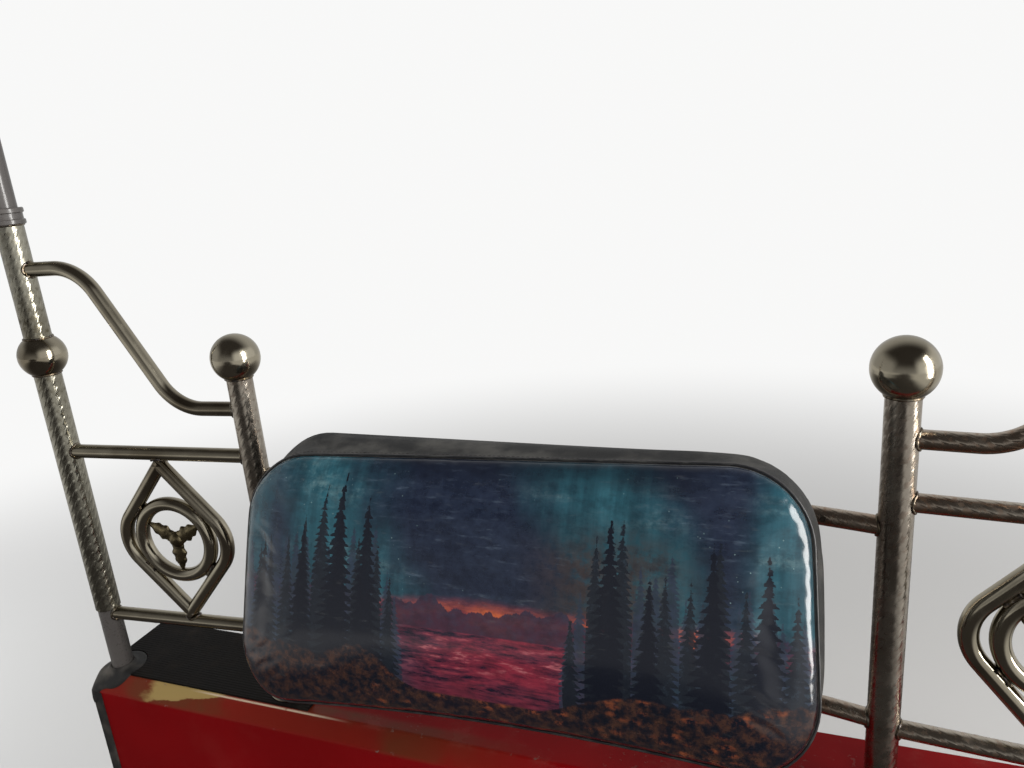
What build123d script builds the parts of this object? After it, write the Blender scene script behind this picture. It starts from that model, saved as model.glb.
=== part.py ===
# Driver's partition of an auto rickshaw: a folded-steel bulkhead, the bent-tube guard rail that
# stands on it, and the driver's padded backrest that hangs in the middle of the rail.
# X runs across the vehicle, +Y to the rear and +Z up. The origin is the centre of the four floor
# bolts, on the underside of the bulkhead's flanges.
import os
from math import cos, hypot, radians, sin

from build123d import *

# Bulkhead: one folded front sheet with its top shelf, a rear sheet, two cheeks, two inner webs
shelf_height = 400.0
bulkhead_half_length = 590.0
shelf_front_y = -36.0
shelf_rear_y = 74.0
bevel = 17.0
sheet = 1.5
fold_r = 4.0
lip_depth = 20.0
web_sheet = 2.0
web_flange = 40.0
web_hole_share = 0.25
flange_reach_y = 103.0
floor_bolt_from_end = 50.0
floor_bolt_y = 88.0
floor_bolt_r = 4.5
swage_r = 9.0
swage_length = 250.0
swage_pitch = 210.0
swage_count = 5
mat_thickness = 3.0
mat_past_post = 37.2
mat_margin = 1.5
mat_cut_gap = 0.5

# Guard rail: tall outer pillars that carry on up to the hood, and short inner posts
pillar_from_end = 23.7
pillar_y = -20.9
pillar_r = 12.7
pillar_length = 700.0
sleeve_wall = 1.5
sleeve_start_rise = 88.0
sleeve_end_rise = 559.0
collar_r = 17.5
collar_height = 17.6
boot_top_r = 15.5
boot_r = 28.5
boot_rise = 24.0
boot_skirt = 28.0
post_x = 315.2
post_r = 13.45
post_foot_r = 31.0
post_foot_thickness = 5.0
post_foot_screw_circle_r = 23.0
post_foot_screw_r = 2.75
post_foot_screws = 3
post_foot_chamfer = 1.5
tube_wall = 1.5
fit = 0.1

# Ball finials, two inches across
ball_r = 25.4
ball_wall = 2.0
ball_rise = 408.0
pillar_ball_lift = 5.0
post_reach_in_ball = 12.0

# Rails: straight in the outer bays, bowed to the rear behind the backrest. Each rise is the
# height of a rail's axis above the shelf
rail_r = 8.0
rail_wall = 1.2
lower_rail_rise = 80.0
mid_rail_rise = 297.0
centre_low_rise = 84.0
centre_high_rise = 273.0
centre_bow = 35.0
swan_inner_rise = 351.0
swan_outer_rise = 510.0
swan_inner_knee = 85.0
swan_outer_knee = 77.0
swan_bend_r = 55.0

# Drop-and-ring ornament in each outer bay
drop_half_width = 82.0
drop_half_height = 95.0
drop_corner_r = 43.0
drop_run_on = 0.25
ring_r = 46.0
petal_count = 3
petal_turn = 30.0
petal_half_width = 7.0
rosette_thickness = 3.0
boss_r = 10.0
boss_rise = 5.0

# Backrest: a padded cushion on a board, leaning back, on two gusset brackets
rest_face_y = -116.0
rest_face_rise = 244.0
rest_lean = 20.0
cushion_half_width = 250.0
cushion_half_height = 114.0
cushion_corner_r = 60.0
cushion_thickness = 52.0
cushion_spread = 8.0
board_thickness = 12.0
board_inset = 6.0
bracket_x = 160.0
bracket_plate = 4.0
bracket_flange = 32.0
bracket_half_length = 88.0
bracket_bolt_r = 3.3
bracket_bolt_up = 62.0
bracket_bolt_across = 9.5
gusset_lap = 6.0
gusset_neck = 16.0
gusset_slope = 40.0
gusset_corner_r = 12.0

pillar_x = bulkhead_half_length - pillar_from_end
floor_bolt_x = bulkhead_half_length - floor_bolt_from_end
pillar_top = shelf_height + pillar_length
sleeve_bottom = shelf_height + sleeve_start_rise
sleeve_top = shelf_height + sleeve_end_rise
ball_z = shelf_height + ball_rise
lower_rail_z = shelf_height + lower_rail_rise
mid_rail_z = shelf_height + mid_rail_rise
centre_low_z = shelf_height + centre_low_rise
centre_high_z = shelf_height + centre_high_rise
swan_inner_z = shelf_height + swan_inner_rise
swan_outer_z = shelf_height + swan_outer_rise
rest_face_z = shelf_height + rest_face_rise
sleeve_r = pillar_r + fit + sleeve_wall
front_y = shelf_front_y - bevel
bay_length = hypot(pillar_x - post_x, pillar_y)
bay_middle = bay_length / 2
drop_z = (lower_rail_z + mid_rail_z) / 2
SIDES = (("left", -1), ("right", 1))
os.makedirs("parts", exist_ok=True)


def save(shape, name):
    export_step(shape, f"parts/{name}.step")


def tube(outer_r, inner_r, bottom, top):
    height = top - bottom
    ring = Cylinder(outer_r, height) - Cylinder(inner_r, height)
    return Pos(0, 0, bottom + height / 2) * ring


# A bay plane runs from an inner post (its origin, at floor height) out to the pillar, with its
# own x along the plan line between the two and its y straight up
def bay_plane(side):
    outward = Vector(side * (pillar_x - post_x), pillar_y, 0)
    return Plane(origin=(side * post_x, 0, 0), x_dir=outward, z_dir=outward.cross(Vector(0, 0, 1)))


def post_solid(side):
    return Pos(side * post_x, 0, shelf_height) * Cylinder(post_r + fit / 2, 2 * pillar_top)


def pillar_solid(side, radius):
    return Pos(side * pillar_x, pillar_y, shelf_height) * Cylinder(
        radius + fit / 2, 2 * pillar_top)


# Sweeps the rail's tube along a path, and copes its ends round the uprights it runs into
def rail_along(path, uprights):
    start = Plane(origin=path @ 0, z_dir=path % 0)
    section = start * (Circle(rail_r) - Circle(rail_r - rail_wall))
    rail = sweep(section, path)
    for upright in uprights:
        rail -= upright
    return rail


def bay_rail(side, height, pillar_radius):
    plane = bay_plane(side)
    path = plane * Line((0, height), (bay_length, height))
    return rail_along(path, (post_solid(side), pillar_solid(side, pillar_radius)))


# The high rail drops from the pillar to the inner post in one swan-necked bend
def swan_rail(side):
    plane = bay_plane(side)
    outer_knee = bay_length - swan_outer_knee
    outline = FilletPolyline((0, swan_inner_z), (swan_inner_knee, swan_inner_z),
                             (outer_knee, swan_outer_z), (bay_length, swan_outer_z),
                             radius=swan_bend_r)
    return rail_along(plane * outline, (post_solid(side), pillar_solid(side, sleeve_r)))


def centre_path(height):
    return ThreePointArc((-post_x, 0, height), (0, centre_bow, height), (post_x, 0, height))


def centre_rail(height):
    return rail_along(centre_path(height), (post_solid(-1), post_solid(1)))


# Half of the drop: two straight sides and the rounded shoulder between them, run past the
# centre line and then mitred on it, so that the mirrored half closes the points
def drop_frame(side):
    plane = bay_plane(side)
    shoulder = (bay_middle + drop_half_width, drop_z)
    end_x = bay_middle - drop_half_width * drop_run_on
    end_rise = drop_half_height * (1 + drop_run_on)
    path = plane * FilletPolyline(
        (end_x, drop_z + end_rise), shoulder, (end_x, drop_z - end_rise), radius=drop_corner_r)
    start = Plane(origin=path @ 0, z_dir=path % 0)
    half = sweep(start * Circle(rail_r), path)
    mitre = Plane(origin=plane.from_local_coords((bay_middle, 0, 0)), z_dir=plane.x_dir)
    half = split(half, bisect_by=mitre, keep=Keep.TOP)
    drop = half + mirror(half, about=mitre)
    for height in (lower_rail_z, mid_rail_z):
        axis = plane * Line((0, height), (bay_length, height))
        seat = Plane(origin=axis @ 0, z_dir=axis % 0)
        drop -= sweep(seat * Circle(rail_r + fit / 2), axis)
    return drop


def ornament_centre(side):
    plane = bay_plane(side)
    return Plane(origin=plane.from_local_coords((bay_middle, drop_z, 0)), x_dir=plane.x_dir,
                 z_dir=plane.z_dir)


def ring(side):
    return ornament_centre(side) * Torus(ring_r, rail_r)


# Petals from the boss to the ring's bore, and a dome on each face
def rosette(side):
    reach = ring_r - rail_r - fit
    petal = Pos(reach / 2, 0) * Ellipse(reach / 2, petal_half_width)
    flower = Circle(boss_r)
    for place in range(petal_count):
        flower += Rot(0, 0, petal_turn + 360 / petal_count * place) * petal
    plate = extrude(flower, rosette_thickness / 2, both=True)
    cap_r = (boss_r**2 + boss_rise**2) / (2 * boss_rise)
    keep = Cylinder(boss_r, 2 * boss_rise + rosette_thickness)
    for face in (1, -1):
        centre = face * (rosette_thickness / 2 + boss_rise - cap_r)
        outer_half = Pos(0, 0, face * ring_r) * Box(2 * ring_r, 2 * ring_r, 2 * ring_r)
        plate += (Pos(0, 0, centre) * Sphere(cap_r)) & keep & outer_half
    return ornament_centre(side) * plate


# A closed outline across the vehicle, with a bend's radius at the corners that are folds
def folded_outline(points, folds, radius):
    outline = make_face(Polyline(*points, close=True))
    corners = [v for v in outline.vertices() if any(hypot(v.X - y, v.Y - z) < fit for y, z in folds)]
    return Plane.YZ * fillet(corners, radius)


def bulkhead_outline():
    folds = ((front_y, shelf_height - bevel), (shelf_front_y, shelf_height))
    return folded_outline(((front_y, 0), *folds, (shelf_rear_y, shelf_height), (shelf_rear_y, 0)),
                          folds, fold_r + half_sheet)


# Sheet bent along its middle line, which runs from one edge of the blank to the other
def folded_sheet(points, half_length):
    profile = trace(FilletPolyline(*points, radius=fold_r), sheet)
    return extrude(Plane.YZ * profile, half_length, both=True)


def capsule(radius, length):
    rod = Cylinder(radius, length - 2 * radius)
    for end in (1, -1):
        rod += Pos(0, 0, end * (length / 2 - radius)) * Sphere(radius)
    return rod


def floor_holes(y):
    drill = Cylinder(floor_bolt_r, 10 * sheet)
    return Pos(floor_bolt_x, y, 0) * drill + Pos(-floor_bolt_x, y, 0) * drill


inner_half = bulkhead_half_length - sheet
half_sheet = sheet / 2
bevel_lean = half_sheet * (2**0.5 - 1)
front_panel = folded_sheet(
    ((-flange_reach_y, half_sheet), (front_y + half_sheet, half_sheet),
     (front_y + half_sheet, shelf_height - bevel - bevel_lean),
     (shelf_front_y + bevel_lean, shelf_height - half_sheet),
     (shelf_rear_y, shelf_height - half_sheet)), inner_half)
front_panel -= floor_holes(-floor_bolt_y)
save(front_panel, "front_panel")

# The rear sheet turns in under the shelf at its top and out along the floor at its bottom, and
# upright half-round swages stiffen it
rear_top = shelf_height - sheet
rear_panel = folded_sheet(
    ((shelf_rear_y - lip_depth, rear_top - half_sheet),
     (shelf_rear_y - half_sheet, rear_top - half_sheet),
     (shelf_rear_y - half_sheet, half_sheet), (flange_reach_y, half_sheet)), inner_half)
swage = capsule(swage_r, swage_length) & (
    Pos(0, swage_r / 2, 0) * Box(2 * swage_r, swage_r, swage_length))
swage_hollow = capsule(swage_r - sheet, swage_length - 2 * sheet)
for place in range(swage_count):
    rise = Pos((place - (swage_count - 1) / 2) * swage_pitch, shelf_rear_y, shelf_height / 2)
    rear_panel += rise * swage
    rear_panel -= rise * swage_hollow
rear_panel -= floor_holes(floor_bolt_y)
save(rear_panel, "rear_panel")

cheek = extrude(bulkhead_outline(), sheet)
for name, side in SIDES:
    offset_x = inner_half if side > 0 else -bulkhead_half_length
    save(Pos(offset_x, 0, 0) * cheek, f"end_cheek_{name}")

# An upright web under each inner post, with a top flange that takes the post's screws
web_front = front_y + sheet
web_rear = shelf_rear_y - sheet
web_depth = web_rear - web_front
web_folds = ((web_front, shelf_height - bevel - 2 * bevel_lean),
             (shelf_front_y + 2 * bevel_lean, rear_top), (web_rear, rear_top - sheet))
web_outline = folded_outline(
    ((web_front, 0), web_folds[0], web_folds[1], (shelf_rear_y - lip_depth, rear_top),
     (shelf_rear_y - lip_depth, rear_top - sheet), web_folds[2], (web_rear, 0)),
    web_folds, fold_r - half_sheet)
flange_front = shelf_front_y + 2 * sheet
flange_depth = shelf_rear_y - lip_depth - fit - flange_front
for name, side in SIDES:
    spot = Pos(side * post_x, 0, 0)
    web = spot * extrude(web_outline, web_sheet / 2, both=True)
    web += spot * Pos(0, flange_front + flange_depth / 2, rear_top - web_sheet / 2) * Box(
        web_flange, flange_depth, web_sheet)
    web -= spot * Pos(0, (web_front + web_rear) / 2, shelf_height / 2) * Rot(0, 90, 0) * Cylinder(
        web_depth * web_hole_share, web_flange)
    save(web, f"inner_web_{name}")

# Pillars with their boots, textured sleeves, collars and threaded-on balls
bulkhead_solid = extrude(bulkhead_outline(), bulkhead_half_length, both=True)
boot_profile = Plane.XZ * make_face(Polyline(
    (0, shelf_height - boot_skirt), (boot_r, shelf_height - boot_skirt), (boot_r, shelf_height),
    (boot_top_r, shelf_height + boot_rise), (0, shelf_height + boot_rise), close=True))
boot_blank = revolve(boot_profile, Axis.Z)
boots = {}
for name, side in SIDES:
    foot = Pos(side * pillar_x, pillar_y, 0)
    boots[side] = foot * boot_blank - bulkhead_solid - pillar_solid(side, pillar_r)
    save(boots[side], f"pillar_boot_{name}")
    save(foot * tube(pillar_r, pillar_r - tube_wall, shelf_height, pillar_top), f"pillar_{name}")
    save(foot * tube(sleeve_r, pillar_r + fit, sleeve_bottom, sleeve_top), f"pillar_sleeve_{name}")
    save(foot * tube(collar_r, pillar_r + fit, sleeve_top, sleeve_top + collar_height),
         f"pillar_collar_{name}")

for name, side in SIDES:
    spot = Pos(side * post_x, 0, 0)
    post_top = ball_z - post_reach_in_ball
    save(spot * tube(post_r, post_r - tube_wall, shelf_height, post_top), f"inner_post_{name}")
    foot = tube(post_foot_r, post_r + fit, shelf_height, shelf_height + post_foot_thickness)
    rim = foot.edges().filter_by(GeomType.CIRCLE).group_by(Axis.Z)[-1].sort_by(SortBy.RADIUS)[-1]
    foot = chamfer(rim, post_foot_chamfer)
    for screw in range(post_foot_screws):
        turn = Rot(0, 0, 90 + 360 / post_foot_screws * screw)
        foot -= turn * Pos(post_foot_screw_circle_r, 0, shelf_height) * Cylinder(
            post_foot_screw_r, 4 * post_foot_thickness)
    save(spot * foot, f"post_foot_{name}")

hollow_ball = Sphere(ball_r) - Sphere(ball_r - ball_wall)
for name, side in SIDES:
    top_ball = hollow_ball - Pos(0, 0, -ball_r) * Cylinder(post_r + fit, 2 * (ball_r - ball_wall))
    save(Pos(side * post_x, 0, ball_z) * top_ball, f"post_ball_{name}")
    through = hollow_ball - Cylinder(sleeve_r + fit, 4 * ball_r)
    save(Pos(side * pillar_x, pillar_y, ball_z + pillar_ball_lift) * through, f"pillar_ball_{name}")

# A black mat lies on the left end of the shelf, cut round the boot and the post's foot
mat_start = -bulkhead_half_length + mat_margin
mat_end_x = -post_x + mat_past_post
mat_depth = shelf_rear_y - shelf_front_y - 2 * mat_margin
mat_outline = Pos((mat_start + mat_end_x) / 2, (shelf_front_y + shelf_rear_y) / 2) * Rectangle(
    mat_end_x - mat_start, mat_depth)
mat_outline -= Pos(-pillar_x, pillar_y) * Circle(boot_r + mat_cut_gap)
mat_outline -= Pos(-post_x, 0) * Circle(post_foot_r + mat_cut_gap)
mat = Pos(0, 0, shelf_height) * extrude(mat_outline, mat_thickness)
save(mat, "shelf_mat")

# Rails and ornaments of the two outer bays, then the two bowed rails behind the backrest
for name, side in SIDES:
    save(bay_rail(side, lower_rail_z, pillar_r), f"lower_rail_{name}")
    save(bay_rail(side, mid_rail_z, sleeve_r), f"mid_rail_{name}")
    save(swan_rail(side), f"swan_rail_{name}")
    save(drop_frame(side), f"drop_frame_{name}")
    save(ring(side), f"ornament_ring_{name}")
    save(rosette(side), f"ring_rosette_{name}")
save(centre_rail(centre_high_z), "centre_rail_upper")
save(centre_rail(centre_low_z), "centre_rail_lower")

# The backrest's own plane: x across, y up its face, and z to the rear through its thickness
rest = Plane(origin=(0, rest_face_y, rest_face_z), x_dir=(-1, 0, 0),
             z_dir=(0, cos(radians(rest_lean)), -sin(radians(rest_lean))))
face = rest * RectangleRounded(2 * cushion_half_width, 2 * cushion_half_height, cushion_corner_r)
back_half_width = cushion_half_width + cushion_spread
back_half_height = cushion_half_height + cushion_spread
back = rest.offset(cushion_thickness) * RectangleRounded(
    2 * back_half_width, 2 * back_half_height, cushion_corner_r + cushion_spread)
cushion = loft([face, back])
save(cushion, "backrest_cushion")

board_half_width = back_half_width - board_inset
board_half_height = back_half_height - board_inset
board = extrude(rest.offset(cushion_thickness) * RectangleRounded(
    2 * board_half_width, 2 * board_half_height, cushion_corner_r), board_thickness)
save(board, "backrest_board")

# Each bracket is a gusset between the board and the two bowed rails, with a flange on the board
board_rear = cushion_thickness + board_thickness
lean_sin = sin(radians(rest_lean))
lean_cos = cos(radians(rest_lean))


def on_board(up, behind):
    depth = board_rear + behind
    return (rest_face_y + depth * lean_cos + up * lean_sin,
            rest_face_z - depth * lean_sin + up * lean_cos)


bow_r = (post_x**2 + centre_bow**2) / (2 * centre_bow)
rail_y = (bow_r**2 - bracket_x**2) ** 0.5 - (bow_r - centre_bow)
neck_y = rail_y - gusset_neck
neck = ((neck_y, centre_low_z + gusset_slope), (neck_y, centre_high_z - gusset_slope))
gusset = folded_outline(
    (on_board(bracket_half_length, 0), on_board(-bracket_half_length, 0),
     (rail_y, centre_low_z - gusset_lap), (rail_y, centre_low_z + rail_r), *neck,
     (rail_y, centre_high_z - rail_r), (rail_y, centre_high_z + gusset_lap)),
    neck, gusset_corner_r)
rail_cores = []
for height in (centre_low_z, centre_high_z):
    path = centre_path(height)
    start = Plane(origin=path @ 0, z_dir=path % 0)
    rail_cores.append(sweep(start * Circle(rail_r + fit / 2), path))
for name, side in SIDES:
    bracket = Pos(side * bracket_x, 0, 0) * extrude(gusset, bracket_plate / 2, both=True)
    flange = rest.offset(board_rear) * Pos(-side * bracket_x, 0)
    bracket += extrude(flange * Rectangle(bracket_flange, 2 * bracket_half_length), bracket_plate)
    for across in (bracket_bolt_across, -bracket_bolt_across):
        for up in (bracket_bolt_up, -bracket_bolt_up):
            bracket -= flange * Pos(across, up) * Cylinder(bracket_bolt_r, 4 * bracket_plate)
    for core in rail_cores:
        bracket -= core
    save(bracket, f"backrest_bracket_{name}")
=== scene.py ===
from math import atan2, ceil, cos, degrees, exp, hypot, pi, radians, sin, sqrt, tan

import bmesh
import bpy
import numpy as np
from mathutils import Matrix, Vector, noise


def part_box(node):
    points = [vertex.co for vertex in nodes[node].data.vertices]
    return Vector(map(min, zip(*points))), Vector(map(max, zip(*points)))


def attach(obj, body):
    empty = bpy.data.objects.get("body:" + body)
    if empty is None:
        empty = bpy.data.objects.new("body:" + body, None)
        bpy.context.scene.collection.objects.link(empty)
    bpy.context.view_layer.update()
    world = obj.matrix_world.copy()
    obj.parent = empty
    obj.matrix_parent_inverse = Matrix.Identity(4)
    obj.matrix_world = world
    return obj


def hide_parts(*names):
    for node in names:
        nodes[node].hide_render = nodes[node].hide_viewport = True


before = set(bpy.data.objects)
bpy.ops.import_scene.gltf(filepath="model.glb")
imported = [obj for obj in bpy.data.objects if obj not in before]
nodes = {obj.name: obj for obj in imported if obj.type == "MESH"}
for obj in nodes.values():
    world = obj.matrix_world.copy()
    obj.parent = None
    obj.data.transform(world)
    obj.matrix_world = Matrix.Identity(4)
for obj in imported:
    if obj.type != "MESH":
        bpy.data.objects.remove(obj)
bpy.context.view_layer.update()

scene = bpy.context.scene
scene.view_settings.view_transform = "Standard"
sides = (("left", -1), ("right", 1))
upward = Vector((0, 0, 1))
print("stage: frame loaded,", len(nodes), "nodes")


# Camera, set where the photograph was taken from: ahead of the piece, looking back and down
lens = {"place": (0.2457, -0.6404, 0.992), "yaw": 21.58, "pitch": 16.58, "roll": -4.93, "focal": 27.58,
        "sensor": 36, "nearest": 0.01}
yaw, pitch, roll = (radians(lens[turn]) for turn in ("yaw", "pitch", "roll"))
ahead = Vector((-sin(yaw), cos(yaw), 0))
level = Vector((cos(yaw), sin(yaw), 0))
aim = ahead * cos(pitch) - upward * sin(pitch)
crown = upward * cos(pitch) + ahead * sin(pitch)
across = level * cos(roll) + crown * sin(roll)
above = crown * cos(roll) - level * sin(roll)
cameraData = bpy.data.cameras.new("camera")
cameraData.sensor_width = lens["sensor"]
cameraData.lens = lens["focal"]
cameraData.clip_start = lens["nearest"]
camera = bpy.data.objects.new("camera", cameraData)
camera.matrix_world = Matrix.Translation(lens["place"]) @ Matrix((across, above, -aim)).transposed().to_4x4()
scene.collection.objects.link(camera)
scene.camera = camera


# One shader socket, so that node maths reads as plain sums
class Shade:
    def __init__(self, tree, socket=None):
        self.tree, self.socket = tree, socket

    def node(self, kind, settings=None, values=None, output=0):
        made = self.tree.nodes.new(kind)
        for key, value in (settings or {}).items():
            if key == "stops":
                while len(made.color_ramp.elements) > 1:
                    made.color_ramp.elements.remove(made.color_ramp.elements[-1])
                for spot, (place, colour) in enumerate(value):
                    stop = made.color_ramp.elements[0] if spot == 0 else made.color_ramp.elements.new(place)
                    stop.position, stop.color = place, (*colour, 1)
            else:
                setattr(made, key, value)
        for key, value in (values or {}).items():
            if isinstance(value, Shade):
                self.tree.links.new(value.socket, made.inputs[key])
            else:
                made.inputs[key].default_value = value
        return Shade(self.tree, made.outputs[output] if len(made.outputs) else None)

    # The same node's sockets by name, for a node that gives several
    def outputs(self):
        return {output.name: Shade(self.tree, output) for output in self.socket.node.outputs}

    def maths(self, operation, first, second=0.0):
        return self.node("ShaderNodeMath", {"operation": operation}, {0: first, 1: second})

    def __add__(self, other):
        return self.maths("ADD", self, other)

    def __radd__(self, other):
        return self.maths("ADD", other, self)

    def __sub__(self, other):
        return self.maths("SUBTRACT", self, other)

    def __rsub__(self, other):
        return self.maths("SUBTRACT", other, self)

    def __mul__(self, other):
        return self.maths("MULTIPLY", self, other)

    def __rmul__(self, other):
        return self.maths("MULTIPLY", other, self)

    def __truediv__(self, other):
        return self.maths("DIVIDE", self, other)

    def __pow__(self, other):
        return self.maths("POWER", self, other)

    def fract(self):
        return self.maths("FRACT", self)

    def floor(self):
        return self.maths("FLOOR", self)

    def size(self):
        return self.maths("ABSOLUTE", self)

    def wave(self):
        return self.maths("SINE", self)

    def least(self, other):
        return self.maths("MINIMUM", self, other)

    def most(self, other):
        return self.maths("MAXIMUM", self, other)

    # Rises smoothly from 0 at low to 1 at high, or falls where low is the larger
    def rise(self, low, high):
        return self.node("ShaderNodeMapRange", {"interpolation_type": "SMOOTHSTEP"},
                         {"Value": self, "From Min": low, "From Max": high})

    def parts(self):
        split = self.node("ShaderNodeSeparateXYZ", None, {0: self})
        return list(split.outputs().values())

    def join(self, x, y, z=0.0):
        return self.node("ShaderNodeCombineXYZ", None, {0: x, 1: y, 2: z})

    def blend(self, first, second, factor):
        return self.node("ShaderNodeMix", {"data_type": "RGBA"}, {0: factor, 6: first, 7: second}, 2)

    def mottle(self, place, scale, detail=3.0, roughness=0.5):
        return self.node("ShaderNodeTexNoise", None,
                         {"Vector": place, "Scale": scale, "Detail": detail, "Roughness": roughness})

    def stretched(self, place, scale):
        return self.node("ShaderNodeVectorMath", {"operation": "MULTIPLY"}, {0: place, 1: scale})

    def bump(self, height, distance, strength=1.0):
        return self.node("ShaderNodeBump", None,
                         {"Strength": strength, "Distance": distance, "Height": height})

    def place(self):
        return self.node("ShaderNodeTexCoord", output=3)

    def lay(self):
        return self.node("ShaderNodeUVMap", {"uv_map": "lay"})


def rgb(red, green, blue):
    return (red, green, blue, 1.0)


def startMaterial(name):
    material = bpy.data.materials.new(name)
    material.use_nodes = True
    material.node_tree.nodes.clear()
    return material, Shade(material.node_tree)


def endMaterial(paint, values):
    shader = paint.node("ShaderNodeBsdfPrincipled", None, values)
    paint.node("ShaderNodeOutputMaterial", None, {"Surface": shader})


# Polished stainless tube and balls: hazy smudges, faint rub lines and brown staining
polished = {"bright": rgb(0.410, 0.372, 0.288), "stained": rgb(0.150, 0.120, 0.080), "stainScale": 11.0,
            "smudgeScale": 46.0, "rubScale": 160.0, "fleckScale": 900.0, "gloss": 0.10, "haze": 0.15,
            "scratchDepth": 0.00002}


def makePolished():
    material, paint = startMaterial("polishedStainless")
    place = paint.place()
    stain = paint.mottle(place, polished["stainScale"], 3.0, 0.6).rise(0.42, 0.72)
    smudge = paint.mottle(place, polished["smudgeScale"], 4.0, 0.62).rise(0.40, 0.75)
    rub = paint.mottle(paint.stretched(place, (9.0, 9.0, 1.0)), polished["rubScale"], 2.0)
    fleck = paint.mottle(place, polished["fleckScale"], 2.0).rise(0.66, 0.74)
    colour = paint.blend(polished["bright"], polished["stained"], (stain * 0.75 + fleck * 0.35).least(1.0))
    rough = polished["gloss"] + smudge * polished["haze"] + rub * 0.05
    endMaterial(paint, {"Base Color": colour, "Metallic": 1.0, "Roughness": rough,
                        "Normal": paint.bump(rub, polished["scratchDepth"], 0.5)})
    return material


# Embossed stainless: rows of long leaf marks, set aslant, that climb round the tube
leaf = {"pitch": 0.0118, "turn": 58.0, "length": 0.0064, "width": 0.0021, "stagger": 0.38, "depth": 0.00042,
        "stainScale": 9.0, "smudgeScale": 52.0, "dirtScale": 190.0, "gloss": 0.17, "haze": 0.14}


# underReflection is how strongly a rail's underside takes the stained brown, a painted reflection of a brown
# floor below it
def makeEmbossed(name, girth, columns, bright, stained, depthShare, underReflection=0.0):
    material, paint = startMaterial(name)
    roundTube, along = paint.lay().parts()[:2]
    cell = girth / columns
    column = (roundTube / cell).floor()
    sideways = ((roundTube / cell).fract() - 0.5) * cell
    climb = along / leaf["pitch"] + column * leaf["stagger"]
    lengthways = (climb.fract() - 0.5) * leaf["pitch"]
    lean = radians(leaf["turn"])
    tip = lengthways * sin(lean) + sideways * cos(lean)
    flank = lengthways * cos(lean) - sideways * sin(lean)
    reach = (tip / leaf["length"]) ** 2.0 + (flank / leaf["width"]) ** 2.0
    mark = reach.rise(1.15, 0.0)
    valley = reach.rise(0.80, 1.30)
    place = paint.place()
    stain = paint.mottle(place, leaf["stainScale"], 3.0, 0.6).rise(0.36, 0.68)
    smudge = paint.mottle(place, leaf["smudgeScale"], 4.0, 0.6).rise(0.36, 0.70)
    dirt = valley * paint.mottle(place, leaf["dirtScale"], 3.0).rise(0.44, 0.66)
    # Painted reflection: faces that point down take the stained brown, as if mirroring a brown floor
    if underReflection:
        slopeZ = paint.node("ShaderNodeNewGeometry", output=1).parts()[2]
        stain = stain.most(slopeZ.rise(0.25, -0.45) * underReflection)
    colour = paint.blend(bright, stained, (stain * 0.6 + dirt * 0.45).least(1.0))
    endMaterial(paint, {"Base Color": colour, "Metallic": 1.0,
                        "Roughness": leaf["gloss"] + smudge * leaf["haze"] + dirt * 0.16,
                        "Normal": paint.bump(mark, leaf["depth"] * depthShare)})
    return material


# Where a CAD node begins, ends or has its middle along x, y or z, to a tenth of a millimetre
def startOf(node, axis):
    return round(getattr(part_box(node)[0], axis), 4)


def endOf(node, axis):
    return round(getattr(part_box(node)[1], axis), 4)


def middleOf(node, axis):
    return round(sum(getattr(corner, axis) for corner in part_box(node)) / 2, 4)


# The bulkhead's edges, which its paint, its strips and its boots line up with
bulkhead = {"shelfZ": endOf("front_panel", "z"), "shelfFrontY": -0.036, "foldZ": 0.383,
            "faceY": startOf("end_cheek_right", "y"), "endX": endOf("end_cheek_right", "x")}

# Red enamel, brushed on thick: slight orange peel, dust low down and rubbed dull along the top, with a
# painted brown reflection and a painted highlight line on the fold
enamel = {"red": rgb(0.152, 0.0020, 0.0030), "deep": rgb(0.108, 0.0013, 0.0021),
          "dust": rgb(0.20, 0.105, 0.080), "primer": rgb(0.105, 0.062, 0.052),
          # The fold's brown tone is a painted reflection and its edge tone a painted highlight
          "brownReflection": rgb(0.062, 0.021, 0.008), "palePatch": rgb(0.225, 0.165, 0.060), "edge": rgb(0.36, 0.28, 0.20),
          "dustZ": 0.16, "reflectionX": (0.04, -0.20), "reflectionY": -0.020, "patchX": -0.500, "patchEndX": -0.395,
          "patchSlope": 0.13, "edgeX": (-0.45, -0.215), "peel": 0.0005}


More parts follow.
